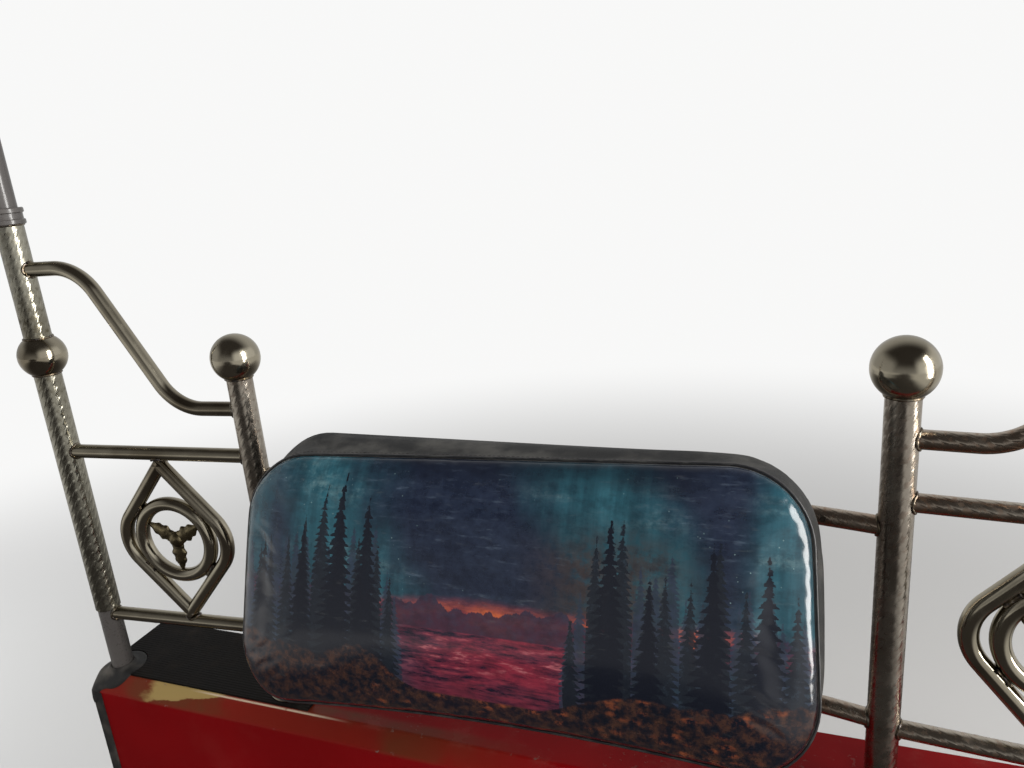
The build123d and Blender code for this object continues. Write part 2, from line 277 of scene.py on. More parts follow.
def makeEnamel():
    material, paint = startMaterial("redEnamel")
    place = paint.place()
    x, y, z = place.parts()
    overFold, overShelf = z - bulkhead["foldZ"], z - bulkhead["shelfZ"]
    patch = paint.mottle(place, 3.2, 3.0).rise(0.35, 0.68)
    streak = paint.mottle(paint.stretched(place, (60.0, 60.0, 5.0)), 1.0, 4.0, 0.6)
    dustCloud = paint.mottle(place, 16.0, 5.0, 0.62)
    low = z.rise(enamel["dustZ"], 0.0)
    shelf = overShelf.rise(-0.0045, -0.0005)
    dust = (dustCloud.rise(0.50, 0.78) * (0.05 + low * 0.55 + shelf * 0.34)
            + streak.rise(0.60, 0.78) * low * 0.35).least(1.0)
    bendBand = overFold.size().rise(0.0030, 0.0004) + (overShelf + 0.0007).size().rise(0.0010, 0.0002)
    rare = paint.mottle(place, 13.0, 2.0).rise(0.50, 0.62)
    chip = paint.mottle(place, 110.0, 3.0, 0.7).rise(0.60, 0.63) * bendBand.least(1.0) * rare
    red = paint.blend(enamel["red"], enamel["deep"], patch)
    worn = paint.blend(red, enamel["dust"], dust * 0.55)

    # The fold's left half carries a painted brown reflection, a pale yellow patch in one spot and a painted
    # highlight line along its edge
    foldReflection = overFold.rise(-0.0040, 0.0030) * x.rise(*enamel["reflectionX"])
    foldReflection = foldReflection * (y - enamel["reflectionY"]).rise(0.004, -0.006)
    reflectionMottle = 0.30 + paint.mottle(place, 14.0, 3.0).rise(0.36, 0.62) * 0.50
    worn = paint.blend(worn, enamel["brownReflection"], foldReflection * reflectionMottle)
    ragged = paint.mottle(paint.stretched(place, (26.0, 60.0, 60.0)), 1.0, 4.0, 0.62) - 0.5
    fromPatch = x - enamel["patchX"]
    wedge = (overFold - 0.0005 - fromPatch * enamel["patchSlope"] + ragged * 0.010).rise(-0.0006, 0.0010)
    patchStart = (fromPatch + ragged * 0.05).rise(-0.012, 0.006)
    patchEnd = (x - enamel["patchEndX"]).rise(0.010, -0.010)
    worn = paint.blend(worn, enamel["palePatch"], foldReflection * wedge * patchStart * patchEnd * 0.80)
    # Painted highlight: a thin pale line along the fold's upper edge, in the edge tone
    edgeHighlight = (overShelf + 0.0010).size().rise(0.0010, 0.0002) * streak.rise(0.26, 0.44)
    edgeHighlight = edgeHighlight * (y - bulkhead["shelfFrontY"] - 0.0015).rise(0.0012, -0.0012)
    edgeStart, edgeEnd = enamel["edgeX"]
    edgeHighlight = edgeHighlight * x.rise(edgeStart, edgeStart + 0.05) * x.rise(edgeEnd, edgeEnd - 0.06)
    worn = paint.blend(worn, enamel["edge"], foldReflection * edgeHighlight * 0.85)

    colour = paint.blend(worn, enamel["primer"], chip)
    orangePeel = paint.mottle(place, 210.0, 2.0)
    dent = paint.mottle(place, 9.0, 2.0)
    normal = paint.bump(orangePeel * 0.10 + dent * 1.3 - chip * 0.6, enamel["peel"], 0.55)
    coat = (0.14 + foldReflection * 0.30 - dust * 0.2 - chip * 0.2).most(0.0)
    endMaterial(paint, {"Base Color": colour, "Roughness": 0.22 + dust * 0.45 + chip * 0.3,
                        "Specular IOR Level": 0.05, "Coat Weight": coat, "Coat Roughness": 0.05,
                        "Coat IOR": 1.33, "Normal": normal})
    return material


# Any finish that one cloudy tone and a fine grain describe
def makePlain(name, base, worn, rough, scale=24.0, metallic=0.0, bumpDepth=0.0002, coat=0.0, grain=320.0,
              sheen=0.5):
    material, paint = startMaterial(name)
    place = paint.place()
    cloud = paint.mottle(place, scale, 5.0, 0.6).rise(0.42, 0.74)
    fine = paint.mottle(place, grain, 3.0)
    colour = paint.blend(base, worn, cloud)
    values = {"Base Color": colour, "Metallic": metallic, "Specular IOR Level": sheen,
              "Roughness": rough + cloud * 0.16 + fine * 0.08,
              "Normal": paint.bump(fine + cloud * 0.5, bumpDepth, 0.7)}
    if coat:
        values["Coat Weight"] = coat
        values["Coat Roughness"] = 0.12
    endMaterial(paint, values)
    return material


# The mat is ribbed along its length, with dust where feet don't reach
matLook = {"base": rgb(0.0042, 0.0036, 0.0032), "dusty": rgb(0.042, 0.034, 0.028), "ribPitch": 0.0040,
           "ribDepth": 0.00035}


def makeMatRubber():
    material, paint = startMaterial("ribbedMat")
    place = paint.place()
    rib = ((place.parts()[1] / matLook["ribPitch"]) * (2 * pi)).wave()
    dust = paint.mottle(place, 30.0, 6.0, 0.65).rise(0.45, 0.78)
    foot = paint.mottle(place, 7.0, 3.0).rise(0.45, 0.70)
    colour = paint.blend(matLook["base"], matLook["dusty"], dust * (0.12 + foot * 0.30))
    endMaterial(paint, {"Base Color": colour, "Roughness": 0.55 + dust * 0.25, "Specular IOR Level": 0.09,
                        "Normal": paint.bump(rib.rise(-0.4, 0.6), matLook["ribDepth"], 0.8)})
    return material


# The backrest's own axes: x across, up its face, and behind its front
rest = {"faceY": -0.116, "faceZ": 0.644, "lean": 20.0, "halfWidth": 0.250, "halfHeight": 0.114,
        "cornerR": 0.060, "boardBack": 0.064, "cornerSteps": 14, "longSteps": 56, "shortSteps": 14}
restUp = Vector((0, sin(radians(rest["lean"])), cos(radians(rest["lean"]))))
restBack = Vector((0, cos(radians(rest["lean"])), -sin(radians(rest["lean"]))))
restOrigin = Vector((0, rest["faceY"], rest["faceZ"]))


# Here the third part is positive in front of the face
def restPlace(paint, place):
    return paint.node("ShaderNodeMapping", {"vector_type": "TEXTURE"},
                      {"Vector": place, "Location": tuple(restOrigin),
                       "Rotation": (radians(90 - rest["lean"]), 0, 0)})


def fromRest(x, up, behind):
    return restOrigin + Vector((x, 0, 0)) + restUp * up + restBack * behind


def toRest(point):
    arm = Vector(point) - restOrigin
    return arm.x, arm.dot(restUp), arm.dot(restBack)


# Ply board: pale layers show on its edges, and a dark lining cloth covers its back
plyLook = {"pale": rgb(0.42, 0.28, 0.15), "dark": rgb(0.24, 0.145, 0.07), "layer": 0.0024,
           "lining": rgb(0.020, 0.019, 0.018), "lint": rgb(0.075, 0.068, 0.060), "thread": 0.0011,
           "grainDepth": 0.0003}


def makePly():
    material, paint = startMaterial("linedPly")
    place = paint.place()
    onRest = restPlace(paint, place)
    x, up, front = onRest.parts()
    layer = (front / plyLook["layer"]).fract().rise(0.35, 0.55)
    fibre = paint.mottle(paint.stretched(onRest, (40.0, 40.0, 700.0)), 1.0, 4.0)
    edge = paint.blend(plyLook["pale"], plyLook["dark"], layer * 0.7 + fibre * 0.3)
    weave = (x / plyLook["thread"] * pi).wave() * (up / plyLook["thread"] * pi).wave()
    lint = paint.mottle(place, 60.0, 5.0, 0.7).rise(0.5, 0.8)
    lining = paint.blend(plyLook["lining"], plyLook["lint"], lint * 0.7 + weave.size() * 0.12)
    back = (front + rest["boardBack"]).rise(0.0012, 0.0004)
    endMaterial(paint, {"Base Color": paint.blend(edge, lining, back), "Roughness": 0.72 + lint * 0.15,
                        "Normal": paint.bump(weave * back + fibre * 0.6, plyLook["grainDepth"], 0.6)})
    return material


# Printed vinyl: northern lights and a burnt-out sunset over a lake, between stands of spruce
printLook = {
    "night": rgb(0.004, 0.006, 0.014), "slate": rgb(0.017, 0.024, 0.042), "crest": rgb(0.055, 0.072, 0.100),
    "teal": rgb(0.007, 0.025, 0.034), "light": rgb(0.020, 0.082, 0.106), "pale": rgb(0.140, 0.205, 0.205),
    "rose": rgb(0.150, 0.015, 0.027), "blush": rgb(0.260, 0.075, 0.085), "ember": rgb(0.370, 0.085, 0.025),
    "earth": rgb(0.040, 0.018, 0.012), "ink": rgb(0.004, 0.005, 0.009), "plum": rgb(0.028, 0.010, 0.020),
    "pine": rgb(0.007, 0.009, 0.013), "mist": rgb(0.014, 0.021, 0.029), "smoke": rgb(0.030, 0.018, 0.015),
    "rubbed": rgb(0.20, 0.21, 0.20), "shoreUp": -0.034, "bankUp": -0.081, "gloss": 0.12}
vinylSide = {"base": rgb(0.012, 0.012, 0.012), "worn": rgb(0.046, 0.044, 0.040), "frontEdge": -0.0082}

# Spruces in three depths, rear to front; foot, height and bough are in metres up the face
spruces = {
    "rear": {"cell": 0.0115, "foot": -0.040, "height": 0.098, "slope": 0.20, "bough": 0.0042, "seed": 3.0},
    "mid": {"cell": 0.0180, "foot": -0.058, "height": 0.152, "slope": 0.155, "bough": 0.0056, "seed": 17.0},
    "fore": {"cell": 0.0400, "foot": -0.080, "height": 0.182, "slope": 0.165, "bough": 0.0078, "seed": 11.0}}


# A row of spruces: spire-shaped masks, one to a cell, with their own heights and ragged boughs
def spruceRow(paint, x, up, rough, row):
    seed, bough = row["seed"], row["bough"]
    cells = x / row["cell"] + seed
    cell = cells.floor()
    middleX = ((cell + (0.5 - seed)) * row["cell"]).size()
    present = middleX.rise(0.056, 0.104) * (1.0 - middleX.rise(0.180, 0.262) * 0.35)
    chance = paint.node("ShaderNodeTexWhiteNoise", {"noise_dimensions": "1D"}, {"W": cell + seed * 7.0})
    other = paint.node("ShaderNodeTexWhiteNoise", {"noise_dimensions": "1D"}, {"W": cell * 3.7 + seed})
    middle = (cells.fract() - 0.5 - (other - 0.5) * 0.4) * row["cell"]
    fromTip = row["foot"] + (0.52 + chance * 0.48) * row["height"] * present - up
    limb = (fromTip / bough + other * 5.0).fract()
    half = fromTip.most(0.0) * row["slope"] * (0.46 + limb * 0.58) + (rough - 0.5) * bough * 1.5
    spire = (half - middle.size() - 0.0004).rise(-0.0004, 0.0005)
    return spire * fromTip.rise(0.0, 0.0015) * present.rise(0.04, 0.16)


# Two slanting curtains of light on either side of a dark middle, and drifting smoke
def printedSky(paint, flat, x, up, noises):
    drift, wisp, grain, swell = noises
    slant = x + up * 0.38 + (drift - 0.5) * 0.15
    near, far = (slant + 0.118).size(), (slant - 0.128).size()
    edge = (x.size() + (drift - 0.5) * 0.05).rise(0.196, 0.236)
    glow = (near.rise(0.085, 0.006).most(far.rise(0.090, 0.006)).most(edge * 0.8)) * up.rise(-0.095, 0.010)
    ray = paint.mottle(paint.stretched(flat, (52.0, 4.5, 1.0)), 1.0, 4.0, 0.62).rise(0.36, 0.72)
    curtain = (glow * (0.30 + ray * 0.85)).least(1.0)
    cloud = (wisp * 0.75 + grain * 0.45 - 0.22).rise(0.12, 0.66)
    sky = paint.blend(printLook["night"], printLook["slate"], cloud)
    sky = paint.blend(sky, printLook["crest"], swell.rise(0.54, 0.70) * wisp.rise(0.40, 0.62) * 0.75)
    sky = paint.blend(sky, printLook["teal"], glow.least(1.0) * 0.92)
    sky = paint.blend(sky, printLook["light"], curtain * (0.55 + grain * 0.5))
    sky = paint.blend(sky, printLook["pale"], curtain * wisp.rise(0.48, 0.72) * grain.rise(0.36, 0.66) * 0.75)
    spark = paint.node("ShaderNodeTexVoronoi", None, {"Vector": flat, "Scale": 120.0}).rise(0.085, 0.035)
    sky = paint.blend(sky, printLook["pale"], spark * drift.rise(0.42, 0.60) * 0.75)
    lid = (up + (wisp - 0.5) * 0.03).rise(0.078, 0.108) * (x - 0.035).size().rise(0.190, 0.110)
    sky = paint.blend(sky, printLook["ink"], lid * 0.72)
    smoke = (x - 0.108 + (wisp - 0.5) * 0.06).size().rise(0.085, 0.015)
    smoke = smoke * (up - 0.004 + (drift - 0.5) * 0.08).size().rise(0.075, 0.010)
    return paint.blend(sky, printLook["smoke"], smoke * grain.rise(0.25, 0.60) * 0.85)


# The burnt sunset along the far shore, and fells in front of it
def printedFells(paint, sky, x, up, noises):
    wisp, grain = noises[1:3]
    burn = (up - printLook["shoreUp"] - 0.008 - (wisp - 0.5) * 0.034).size().rise(0.021, 0.001)
    sky = paint.blend(sky, printLook["rose"], burn * 0.90)
    sky = paint.blend(sky, printLook["ember"], burn * burn * wisp.rise(0.44, 0.60) * 0.95)
    ridge = paint.mottle(paint.join(x, 0.3), 17.0, 6.0, 0.56) * 0.086 - 0.056
    haze = (grain * 0.9 + (up + 0.012) * 6.0).rise(0.15, 0.85)
    return paint.blend(sky, paint.blend(printLook["plum"], printLook["slate"], haze),
                       (ridge - up).rise(0.0, 0.0012) * 0.94)


# The lake mirrors the glow in fine ripples
def printedLake(paint, x, up, noises):
    drift, wisp, swell = noises[0], noises[1], noises[3]
    gleam = (x - 0.020 + (drift - 0.5) * 0.12).size().rise(0.150, 0.030)
    water = paint.blend(printLook["night"], printLook["slate"], swell.rise(0.38, 0.66))
    water = paint.blend(water, printLook["light"], (1.0 - gleam) * swell.rise(0.50, 0.66) * 0.65)
    chop = (swell * 0.55 + wisp * 0.45).rise(0.36, 0.56)
    rosy = (gleam * chop).least(1.0) * (0.96 - up.rise(-0.060, -0.112) * 0.45)
    water = paint.blend(water, printLook["rose"], rosy)
    crests = gleam * swell.rise(0.545, 0.66) * (up + 0.052).size().rise(0.022, 0.002)
    return paint.blend(water, printLook["blush"], crests)


# Near bank: dark stones with a little of the glow caught on them
def printedBank(paint, view, flat, x, up, noises):
    drift, grain = noises[0], noises[2]
    mound = paint.mottle(paint.join(x, 1.7), 12.0, 4.0, 0.6) * 0.050 * x.size().rise(0.050, 0.115)
    ground = (up - printLook["bankUp"] - mound + 0.008).rise(0.0016, -0.0010)
    stone = paint.node("ShaderNodeTexVoronoi", None,
                       {"Vector": paint.stretched(flat, (1.0, 2.3, 1.0)), "Scale": 62.0})
    lit = stone.rise(0.46, 0.08) * drift.rise(0.46, 0.64) * grain.rise(0.40, 0.62)
    soil = paint.blend(printLook["ink"], printLook["earth"], grain.rise(0.38, 0.70))
    return paint.blend(view, paint.blend(soil, printLook["ember"], lit * 0.50), ground * 0.97)


def makePrint():
    material, paint = startMaterial("printedVinyl")
    place = paint.place()
    face = restPlace(paint, place)
    x, up, front = face.parts()
    flat = paint.join(x, up)
    drift = paint.mottle(flat, 7.0, 2.0, 0.55)
    wisp = paint.mottle(paint.stretched(flat, (8.0, 34.0, 1.0)), 1.0, 5.0, 0.62)
    grain = paint.mottle(flat, 120.0, 4.0, 0.70)
    swell = paint.mottle(paint.stretched(flat, (38.0, 210.0, 1.0)), 1.0, 4.0, 0.66)
    noises = (drift, wisp, grain, swell)
    view = printedFells(paint, printedSky(paint, flat, x, up, noises), x, up, noises)
    onWater = (up - printLook["shoreUp"]).rise(0.0008, -0.0006)
    view = paint.blend(view, printedLake(paint, x, up, noises), onWater)

    # Each row of spruces is darker than the one behind it
    for row, dark, pale, low, high, cover in (("rear", "mist", "slate", 0.35, 0.65, 0.90),
                                              ("mid", "pine", "mist", 0.52, 0.74, 0.95),
                                              ("fore", "ink", "pine", 0.55, 0.75, 0.97)):
        trees = spruceRow(paint, x, up, grain, spruces[row])
        tone = paint.blend(printLook[dark], printLook[pale], grain.rise(low, high))
        view = paint.blend(view, tone, trees * cover)

    # Brushwork darkens all of it in dabs
    dab = paint.mottle(paint.stretched(flat, (46.0, 70.0, 1.0)), 1.0, 5.0, 0.72).rise(0.42, 0.66)
    view = paint.blend(view, printLook["ink"], dab * 0.38)
    view = printedBank(paint, view, flat, x, up, noises)

    # Behind the seam the wall is plain vinyl with a fine leather grain
    wall = (front - vinylSide["frontEdge"]).rise(0.0, -0.0008)
    scuff = paint.mottle(place, 26.0, 4.0, 0.62).rise(0.40, 0.72)
    sideTone = paint.blend(vinylSide["base"], vinylSide["worn"], scuff)
    rub = paint.mottle(paint.stretched(face, (6.0, 30.0, 1.0)), 6.0, 3.0, 0.7).rise(0.60, 0.80)
    worn = paint.blend(view, printLook["rubbed"], rub * 0.08)
    hide = paint.node("ShaderNodeTexVoronoi", {"feature": "DISTANCE_TO_EDGE"},
                      {"Vector": place, "Scale": 900.0})
    slack = paint.mottle(face, 14.0, 3.0)
    height = hide.rise(0.0, 0.12) * (0.012 + wall * 0.10) + slack * 0.9
    rough = printLook["gloss"] + rub * 0.10 + scuff * 0.05 + wall * 0.42
    endMaterial(paint, {"Base Color": paint.blend(worn, sideTone, wall), "Roughness": rough,
                        "Specular IOR Level": 0.25, "Coat Weight": 0.65 - wall * 0.65, "Coat Roughness": 0.10,
                        "Coat IOR": 1.42, "Normal": paint.bump(height, 0.0011, 0.6)})
    return material


# Weld metal, straw to brown where the heat ran
weldLook = {"tones": [(0.30, (0.30, 0.28, 0.24)), (0.48, (0.21, 0.165, 0.11)), (0.60, (0.10, 0.085, 0.08)),
                      (0.72, (0.28, 0.265, 0.24))],
            "soot": rgb(0.035, 0.03, 0.027), "depth": 0.0002}


def makeWeld():
    material, paint = startMaterial("weldMetal")
    place = paint.place()
    tint = paint.mottle(place, 130.0, 3.0)
    soot = paint.mottle(place, 420.0, 3.0).rise(0.50, 0.68)
    colour = paint.node("ShaderNodeValToRGB", {"stops": weldLook["tones"]}, {0: tint})
    endMaterial(paint, {"Base Color": paint.blend(colour, weldLook["soot"], soot * 0.7),
                        "Metallic": 1.0, "Roughness": 0.28 + soot * 0.3,
                        "Normal": paint.bump(paint.mottle(place, 800.0, 3.0), weldLook["depth"], 0.6)})
    return material


postR, railR, sleeveR = 0.01345, 0.008, 0.0143
steel = makePolished()
postSteel = makeEmbossed("embossedPost", 2 * pi * postR, 10,
                         rgb(0.430, 0.392, 0.335), rgb(0.180, 0.136, 0.106), 0.30)
sleeveSteel = makeEmbossed("embossedSleeve", 2 * pi * sleeveR, 10,
                           rgb(0.360, 0.345, 0.285), rgb(0.150, 0.134, 0.095), 0.62)
# The rails' undersides carry a painted brown reflection
railSteel = makeEmbossed("embossedRail", 2 * pi * railR, 6,
                         rgb(0.520, 0.465, 0.390), rgb(0.320, 0.180, 0.110), 0.50, 1.35)
redPaint = makeEnamel()
primer = makePlain("darkPrimer", rgb(0.075, 0.066, 0.06), rgb(0.13, 0.11, 0.09), 0.62)
blackTube = makePlain("blackTubePaint", rgb(0.062, 0.056, 0.052), rgb(0.092, 0.084, 0.078), 0.24,
                      coat=0.4, bumpDepth=0.00012)
castMetal = makePlain("castFlower", rgb(0.260, 0.215, 0.125), rgb(0.050, 0.040, 0.026), 0.18, 90.0,
                      1.0, 0.0003)
rubber = makePlain("bootRubber", rgb(0.012, 0.0115, 0.011), rgb(0.050, 0.044, 0.037), 0.50, 34.0,
                   bumpDepth=0.0003, sheen=0.3)
matRubber = makeMatRubber()
plyBoard = makePly()
printedVinyl = makePrint()
pipingVinyl = makePlain("pipingVinyl", rgb(0.008, 0.008, 0.009), rgb(0.028, 0.027, 0.025), 0.30, 60.0,
                        coat=0.3)
returnVinyl = makePlain("returnVinyl", vinylSide["base"], vinylSide["worn"], 0.38, 30.0, coat=0.2,
                        bumpDepth=0.0004)
thread = makePlain("darkThread", rgb(0.014, 0.012, 0.012), rgb(0.045, 0.040, 0.035), 0.62, 300.0,
                   grain=2600.0)
zinc = makePlain("zincBolt", rgb(0.46, 0.45, 0.42), rgb(0.26, 0.22, 0.16), 0.27, 120.0, 1.0, 0.0002)
weldMetal = makeWeld()
print("stage: materials made")


# Cosine and sine of each step round a full turn
def circle(count):
    return [(cos(2 * pi * step / count), sin(2 * pi * step / count)) for step in range(count)]


def meshObject(name, mesh, material, smoothAngle=32.0):
    if material is not None:
        mesh.materials.clear()
        mesh.materials.append(material)
    mesh.shade_smooth()
    mesh.set_sharp_from_angle(angle=radians(smoothAngle))
    piece = bpy.data.objects.new(name, mesh)
    scene.collection.objects.link(piece)
    return piece


# A mesh from a grid of points, each row closed on itself, with a metric layout on its uv map
def gridMesh(name, grid, layout, wrapRows=False):
    rows, columns = len(grid), len(grid[0])
    points = [tuple(point) for row in grid for point in row]
    faces, corners = [], []
    for row in range(rows if wrapRows else rows - 1):
        nextRow = (row + 1) % rows
        for column in range(columns):
            nextColumn = (column + 1) % columns
            faces.append((row * columns + column, row * columns + nextColumn,
                          nextRow * columns + nextColumn, nextRow * columns + column))
            corners += [layout(column, row), layout(column + 1, row), layout(column + 1, row + 1),
                        layout(column, row + 1)]
    mesh = bpy.data.meshes.new(name)
    mesh.from_pydata(points, [], faces)
    uv = mesh.uv_layers.new(name="lay")
    uv.data.foreach_set("uv", [number for corner in corners for number in corner])
    return mesh


# A layout of even steps, for pieces whose finish doesn't follow their surface
def evenLayout(roundStep, alongStep):
    return lambda column, row: (column * roundStep, row * alongStep)


mergeDistance = 1e-6


# Merges the points that meet in a pole, and drops the flat faces and loose edges that leaves
def cleaned(mesh):
    work = bmesh.new()
    work.from_mesh(mesh)
    bmesh.ops.remove_doubles(work, verts=work.verts, dist=mergeDistance)
    bmesh.ops.dissolve_degenerate(work, edges=work.edges, dist=mergeDistance)
    bmesh.ops.delete(work, geom=[edge for edge in work.edges if not edge.link_faces], context="EDGES")
    work.to_mesh(mesh)
    work.free()
    return mesh


# Fills open ends and turns all faces outwards
def closedUp(mesh):
    work = bmesh.new()
    work.from_mesh(mesh)
    bmesh.ops.holes_fill(work, edges=work.edges, sides=0)
    bmesh.ops.recalc_face_normals(work, faces=work.faces)
    work.to_mesh(mesh)
    work.free()
    return mesh


# Turned shape about an upright axis; its outline runs up the outside and back down the inside
def lathe(name, spot, outline, segments, material, smoothAngle=32.0):
    grid, rowLength = [], [0.0]
    for (radius, height), (nextRadius, nextHeight) in zip(outline, outline[1:] + outline[:1]):
        rowLength.append(rowLength[-1] + hypot(nextRadius - radius, nextHeight - height))
    for radius, height in outline:
        grid.append([(spot[0] + radius * x, spot[1] + radius * y, height) for x, y in circle(segments)])
    girth = 2 * pi * max(radius for radius, height in outline)
    mesh = gridMesh(name, grid, lambda column, row: (girth * column / segments, rowLength[row]), True)
    return meshObject(name, cleaned(mesh), material, smoothAngle)


# Points along straight runs joined by tangent arcs, as evenly as the step allows
def routeThrough(corners, radius, step):
    corners = [Vector(corner) for corner in corners]
    path, start = [], corners[0]
    for before, corner, after in zip(corners, corners[1:], corners[2:]):
        intoCorner, outOf = (corner - before).normalized(), (after - corner).normalized()
        turn = intoCorner.angle(outOf)
        cut = radius * tan(turn / 2)
        arcStart, arcEnd = corner - intoCorner * cut, corner + outOf * cut
        middle = arcStart + (outOf - intoCorner * intoCorner.dot(outOf)).normalized() * radius
        runs = max(1, ceil((arcStart - start).length / step))
        path += [start.lerp(arcStart, run / runs) for run in range(runs)]
        swing = max(2, ceil(radius * turn / step * 2))
        axis = (arcStart - middle).cross(arcEnd - middle).normalized()
        for part in range(swing):
            path.append(middle + Matrix.Rotation(turn * part / swing, 3, axis) @ (arcStart - middle))
        start = arcEnd
    runs = max(1, ceil((corners[-1] - start).length / step))
    path += [start.lerp(corners[-1], run / runs) for run in range(runs + 1)]
    return path


# Round bar along a path, carried without twist; its layout is metres round and along
def sweep(name, path, radius, segments, material, closed=False):
    count = len(path)
    directions = []
    for spot in range(count):
        before = path[spot - 1] if closed or spot else path[spot]
        after = path[(spot + 1) % count] if closed or spot < count - 1 else path[spot]
        directions.append((after - before).normalized())
    side = directions[0].orthogonal().normalized()
    if abs(directions[0].z) < 0.95:
        side = directions[0].cross(upward).normalized()
    grid, length, lengths = [], 0.0, []
    for spot, direction in enumerate(directions):
        side = (side - direction * side.dot(direction)).normalized()
        other = direction.cross(side)
        grid.append([path[spot] + (side * x + other * y) * radius for x, y in circle(segments)])
        lengths.append(length)
        if spot < count - 1:
            length += (path[spot + 1] - path[spot]).length
    lengths.append(length + (path[0] - path[-1]).length)
    if not closed:
        grid = [[path[0]] * segments] + grid + [[path[-1]] * segments]
        lengths = [0.0] + lengths[:-1] + [length, length]
    girth = 2 * pi * radius
    mesh = gridMesh(name, grid, lambda column, row: (girth * column / segments, lengths[row]), closed)
    return meshObject(name, cleaned(mesh), material, 40.0)


def settle(piece, slotName, *replaced):
    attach(piece, "root")
    if replaced:
        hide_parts(*replaced)
    return piece


# Each outer bay: its plan line runs from the inner post to the pillar
bay = {"postX": middleOf("inner_post_right", "x"), "pillarX": middleOf("pillar_right", "x"),
       "pillarY": middleOf("pillar_right", "y"), "lowerZ": middleOf("lower_rail_right", "z"),
       "middleZ": middleOf("mid_rail_right", "z"), "swanInnerZ": 0.751, "swanOuterZ": 0.910,
       "swanInnerKnee": 0.085, "swanOuterKnee": 0.077, "swanR": 0.055, "endGap": 0.009}
bayLength = hypot(bay["pillarX"] - bay["postX"], bay["pillarY"])


def inBay(side, along, height, out=0.0):
    run = Vector((side * (bay["pillarX"] - bay["postX"]), bay["pillarY"], 0)) / bayLength
    return Vector((side * bay["postX"], 0, height)) + run * along + run.cross(upward) * out * -side


# Uprights: a dark pillar with its embossed sleeve and collar, and an embossed inner post
uprights = {"pillarR": 0.0127, "wall": 0.0015, "pillarTop": endOf("pillar_right", "z"),
            "sleeveLow": startOf("pillar_sleeve_right", "z"), "sleeveHigh": endOf("pillar_sleeve_right", "z"),
            "collarR": 0.0175, "collarHeight": 0.0176, "groove": 0.0016, "postTop": 0.7962, "fit": 0.0001,
            "segments": 72, "collarSegments": 64}


def tubeOutline(outer, inner, low, high, lip=0.0004):
    return [(outer, low + lip), (outer, high - lip), (outer - lip, high), (inner + lip, high),
            (inner, high - lip), (inner, low + lip), (inner + lip, low), (outer - lip, low)]


# Two rolled bands with a groove between them, from the sleeve's top upwards
def collarOutline():
    low, high = uprights["sleeveHigh"], uprights["sleeveHigh"] + uprights["collarHeight"]
    wide, bore = uprights["collarR"], uprights["pillarR"] + uprights["fit"]
    neck = wide - uprights["groove"]
    return [(wide - 0.0008, low), (wide, low + 0.001), (wide, low + 0.0048), (neck, low + 0.0058),
            (neck, high - 0.0058), (wide, high - 0.0048), (wide, high - 0.001), (wide - 0.0008, high),
            (bore, high), (bore, low)]


for name, side in sides:
    spot = (side * bay["pillarX"], bay["pillarY"])
    outline = tubeOutline(uprights["pillarR"], uprights["pillarR"] - uprights["wall"], bulkhead["shelfZ"],
                          uprights["pillarTop"])
    pillar = lathe(f"pillar_tube_{name}", spot, outline, uprights["segments"], blackTube)
    settle(pillar, "black_tube", f"pillar_{name}")
    outline = tubeOutline(sleeveR, uprights["pillarR"] + uprights["fit"], uprights["sleeveLow"],
                          uprights["sleeveHigh"], 0.0006)
    sleeve = lathe(f"sleeve_tube_{name}", spot, outline, uprights["segments"], sleeveSteel)
    settle(sleeve, "embossed_steel", f"pillar_sleeve_{name}")
    collar = lathe(f"collar_band_{name}", spot, collarOutline(), uprights["collarSegments"], blackTube)
    settle(collar, "black_tube", f"pillar_collar_{name}")
    outline = tubeOutline(postR, postR - uprights["wall"], bulkhead["shelfZ"] + 0.0002, uprights["postTop"])
    post = lathe(f"post_tube_{name}", (side * bay["postX"], 0), outline, uprights["segments"], postSteel)
    settle(post, "embossed_steel", f"inner_post_{name}")


# Hollow balls: pressed halves with a faint closing seam
ball = {"radius": 0.0254, "postZ": 0.808, "pillarZ": middleOf("pillar_ball_right", "z"), "wall": 0.002,
        "fit": 0.0001, "seamDepth": 0.00008, "seamTurn": 0.012, "outerSteps": 56, "innerSteps": 12,
        "segments": 96}


# Where a bore cuts a ball of this radius, or the ball's pole where it has none; end is 1 at the top
def boreTurn(radius, bore, end):
    return atan2(end * sqrt(radius**2 - bore**2), bore) if bore else end * pi / 2


def ballOutline(centre, lowBore, highBore):
    outline = []
    low, high = boreTurn(ball["radius"], lowBore, -1), boreTurn(ball["radius"], highBore, 1)
    for step in range(ball["outerSteps"] + 1):
        angle = low + (high - low) * step / ball["outerSteps"]
        radius = ball["radius"] - ball["seamDepth"] * (abs(angle) < ball["seamTurn"])
        outline.append((max(radius * cos(angle), 0.0), centre + radius * sin(angle)))
    hollow = ball["radius"] - ball["wall"]
    low, high = boreTurn(hollow, lowBore, -1), boreTurn(hollow, highBore, 1)
    for step in range(ball["innerSteps"] + 1):
        angle = high + (low - high) * step / ball["innerSteps"]
        outline.append((max(hollow * cos(angle), 0.0), centre + hollow * sin(angle)))
    return outline


for name, side in sides:
    outline = ballOutline(ball["postZ"], postR + ball["fit"], None)
    top = lathe(f"post_finial_{name}", (side * bay["postX"], 0), outline, ball["segments"], steel, 50.0)
    settle(top, "polished_steel", f"post_ball_{name}")
    outline = ballOutline(ball["pillarZ"], sleeveR + ball["fit"], sleeveR + ball["fit"])
    through = lathe(f"pillar_finial_{name}", (side * bay["pillarX"], bay["pillarY"]), outline,
                    ball["segments"], steel, 50.0)
    settle(through, "polished_steel", f"pillar_ball_{name}")
print("stage: uprights and balls made")


